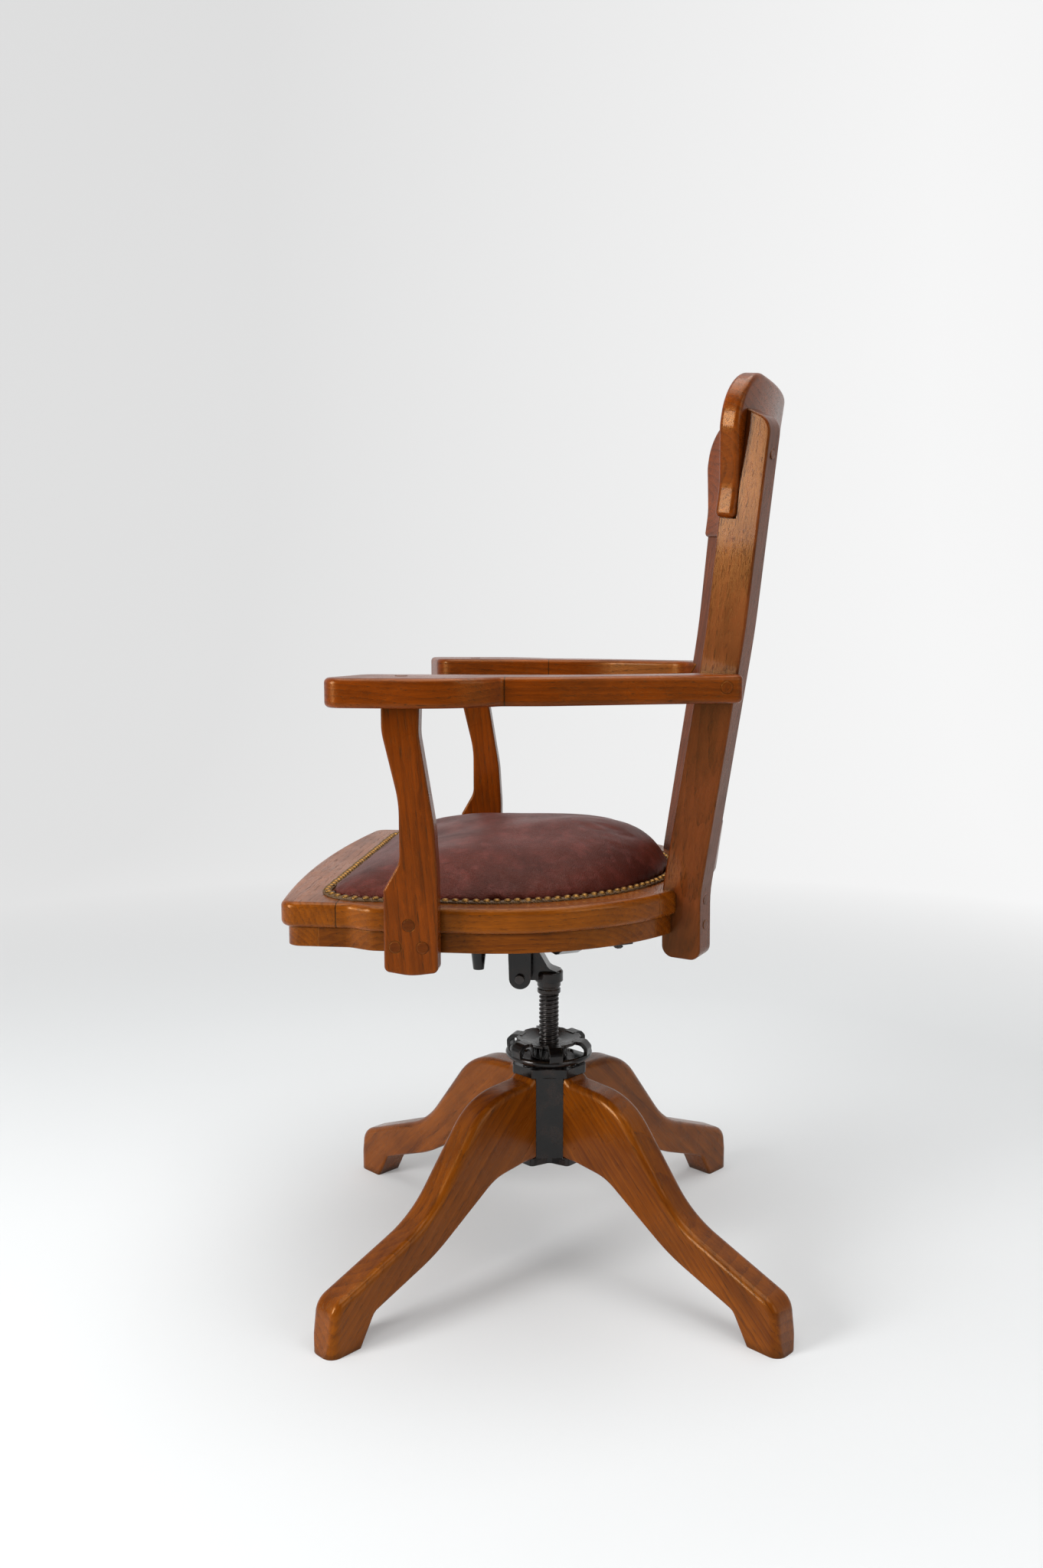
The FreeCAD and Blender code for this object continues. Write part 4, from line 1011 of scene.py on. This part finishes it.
class ChairStageOperator(bpy.types.Operator):
    """Set the floor, the backdrop, the lights and the camera"""
    bl_idname = "chair.stage"
    bl_label = "Stage"

    def execute(self, context):
        scene = context.scene
        self.paper(scene)
        self.surroundings(scene)
        for name, (place, aim, sides) in LAMPS.items():
            lamp(name + "_light", place, aim, getattr(scene.chair_stage, name), sides)
        self.camera(scene)
        scene.view_settings.view_transform = "Standard"
        return {"FINISHED"}

    def paper(self, scene):
        """The floor and backdrop, which glow where the camera looks at them."""
        bm = bmesh.new()
        verts = [bm.verts.new((FLOOR_FRONT, -FLOOR_SIDE, 0.0)),
                 bm.verts.new((FLOOR_BACK, -FLOOR_SIDE, 0.0))]
        bm.edges.new(verts)
        bmesh.ops.spin(bm, geom=[verts[1]], cent=(FLOOR_BACK, -FLOOR_SIDE, BEND_RADIUS),
                       axis=(0, 1, 0), angle=math.pi / 2, steps=16, use_merge=False,
                       use_duplicate=False)
        bm.verts.ensure_lookup_table()
        last = min(bm.verts, key=lambda vert: vert.co.x - vert.co.z)
        bm.edges.new((last, bm.verts.new(last.co + Vector((0, 0, BACKDROP_RISE)))))
        _, verts = drawn_up(bm, bm.edges[:])
        bmesh.ops.translate(bm, vec=(0, 2 * FLOOR_SIDE, 0), verts=verts)
        bmesh.ops.recalc_face_normals(bm, faces=bm.faces)
        mesh = bpy.data.meshes.new("studio_floor")
        bm.to_mesh(mesh)
        bm.free()
        mesh.shade_smooth()
        floor = bpy.data.objects.new("studio_floor", mesh)
        scene.collection.objects.link(floor)
        stuff, tree, shader, _ = material("studio_paper")
        fill(tree, shader, Base_Color=finishes().floor, Roughness=0.9, Specular_IOR_Level=0.1)
        spot = out(put(tree, "NewGeometry"), "Position")
        axes = put(tree, "SeparateXYZ", Vector=spot)
        away = put(tree, "VectorMath", {"operation": "LENGTH"}, _0=spot)
        glow = put(tree, "Emission", Color=(1, 1, 1),
                   Strength=spread(tree, out(axes, "Y"), *GLOW_ALONG))
        share = times(tree, self.seen(tree),
                      spread(tree, out(away, "Value"), *GLOW_AWAY))
        both = put(tree, "MixShader", _0=share, _1=out(shader), _2=out(glow))
        tree.links.new(out(both), tree.nodes["Material Output"].inputs["Surface"])
        mesh.materials.append(stuff)

    def surroundings(self, scene):
        """Pale surroundings that the camera and reflections see, and a weak even light."""
        even = scene.chair_stage.world
        world = bpy.data.worlds.new("studio")
        world.use_nodes = True
        tree = world.node_tree
        toward = out(put(tree, "SeparateXYZ", Vector=out(put(tree, "TexCoord"), "Generated")), "X")
        pale = spread(tree, toward, 0.3, -0.3, even, PALE_WORLD)
        camera_ray = out(put(tree, "LightPath"), "Is Camera Ray")
        pale = maths(tree, "MAXIMUM", pale, times(tree, camera_ray, PALE_WORLD))
        strength = maths(tree, "MAXIMUM", times(tree, self.seen(tree), pale), even)
        fill(tree, tree.nodes["Background"], Color=(1, 1, 1), Strength=strength)
        scene.world = world

    def camera(self, scene):
        """The camera, at the place and angle of the photograph's."""
        data = bpy.data.cameras.new("camera")
        data.sensor_width = 36.0
        data.lens = scene.chair_stage.lens
        data.clip_end = 50.0
        camera = bpy.data.objects.new("camera", data)
        camera.location = CAMERA_PLACE
        level = Vector(CAMERA_HEADING).normalized() * math.cos(CAMERA_PITCH)
        heading = Vector((*level, -math.sin(CAMERA_PITCH)))
        camera.rotation_euler = heading.to_track_quat("-Z", "Y").to_euler()
        scene.collection.objects.link(camera)
        scene.camera = camera

    def seen(self, tree):
        """1 for what the camera or a clear piece looks at, less for a reflection, 0 for light."""
        path = put(tree, "LightPath")
        glossy = times(tree, out(path, "Is Glossy Ray"), 0.7)
        rays = maths(tree, "MAXIMUM", out(path, "Is Camera Ray"), glossy)
        return maths(tree, "MAXIMUM", rays, out(path, "Is Transmission Ray"))


OPERATORS = (ChairTimberOperator, ChairIronOperator, ChairPadOperator, ChairTrimOperator,
             ChairScrewOperator, ChairSpringOperator, ChairScrewHeadsOperator,
             ChairStageOperator)


class ChairPanel(bpy.types.Panel):
    """Sizes, colours and pieces of the armchair"""
    bl_label = "Oak Swivel Armchair"
    bl_idname = "VIEW3D_PT_oak_armchair"
    bl_space_type = "VIEW_3D"
    bl_region_type = "UI"
    bl_category = "Armchair"

    def draw(self, context):
        for group in (context.scene.chair_seat, context.scene.chair_fittings,
                      context.scene.chair_finishes, context.scene.chair_stage):
            box = self.layout.box()
            for name in group.bl_rna.properties.keys():
                if name not in ("rna_type", "name"):
                    box.prop(group, name)
        for operator in OPERATORS:
            self.layout.operator(operator.bl_idname)


GROUPS = {"chair_seat": ChairSeatSizes, "chair_fittings": ChairFittingSizes,
          "chair_finishes": ChairFinishes, "chair_stage": ChairStage}


def register():
    for group in GROUPS.values():
        bpy.utils.register_class(group)
    for name, group in GROUPS.items():
        setattr(bpy.types.Scene, name, PointerProperty(type=group))
    for operator in OPERATORS:
        bpy.utils.register_class(operator)
    bpy.utils.register_class(ChairPanel)


def unregister():
    bpy.utils.unregister_class(ChairPanel)
    for operator in reversed(OPERATORS):
        bpy.utils.unregister_class(operator)
    for name in GROUPS:
        delattr(bpy.types.Scene, name)
    for group in GROUPS.values():
        bpy.utils.unregister_class(group)


def main():
    register()
    for operator in OPERATORS:
        family, name = operator.bl_idname.split(".")
        getattr(getattr(bpy.ops, family), name)()


if __name__ == "__main__":
    main()
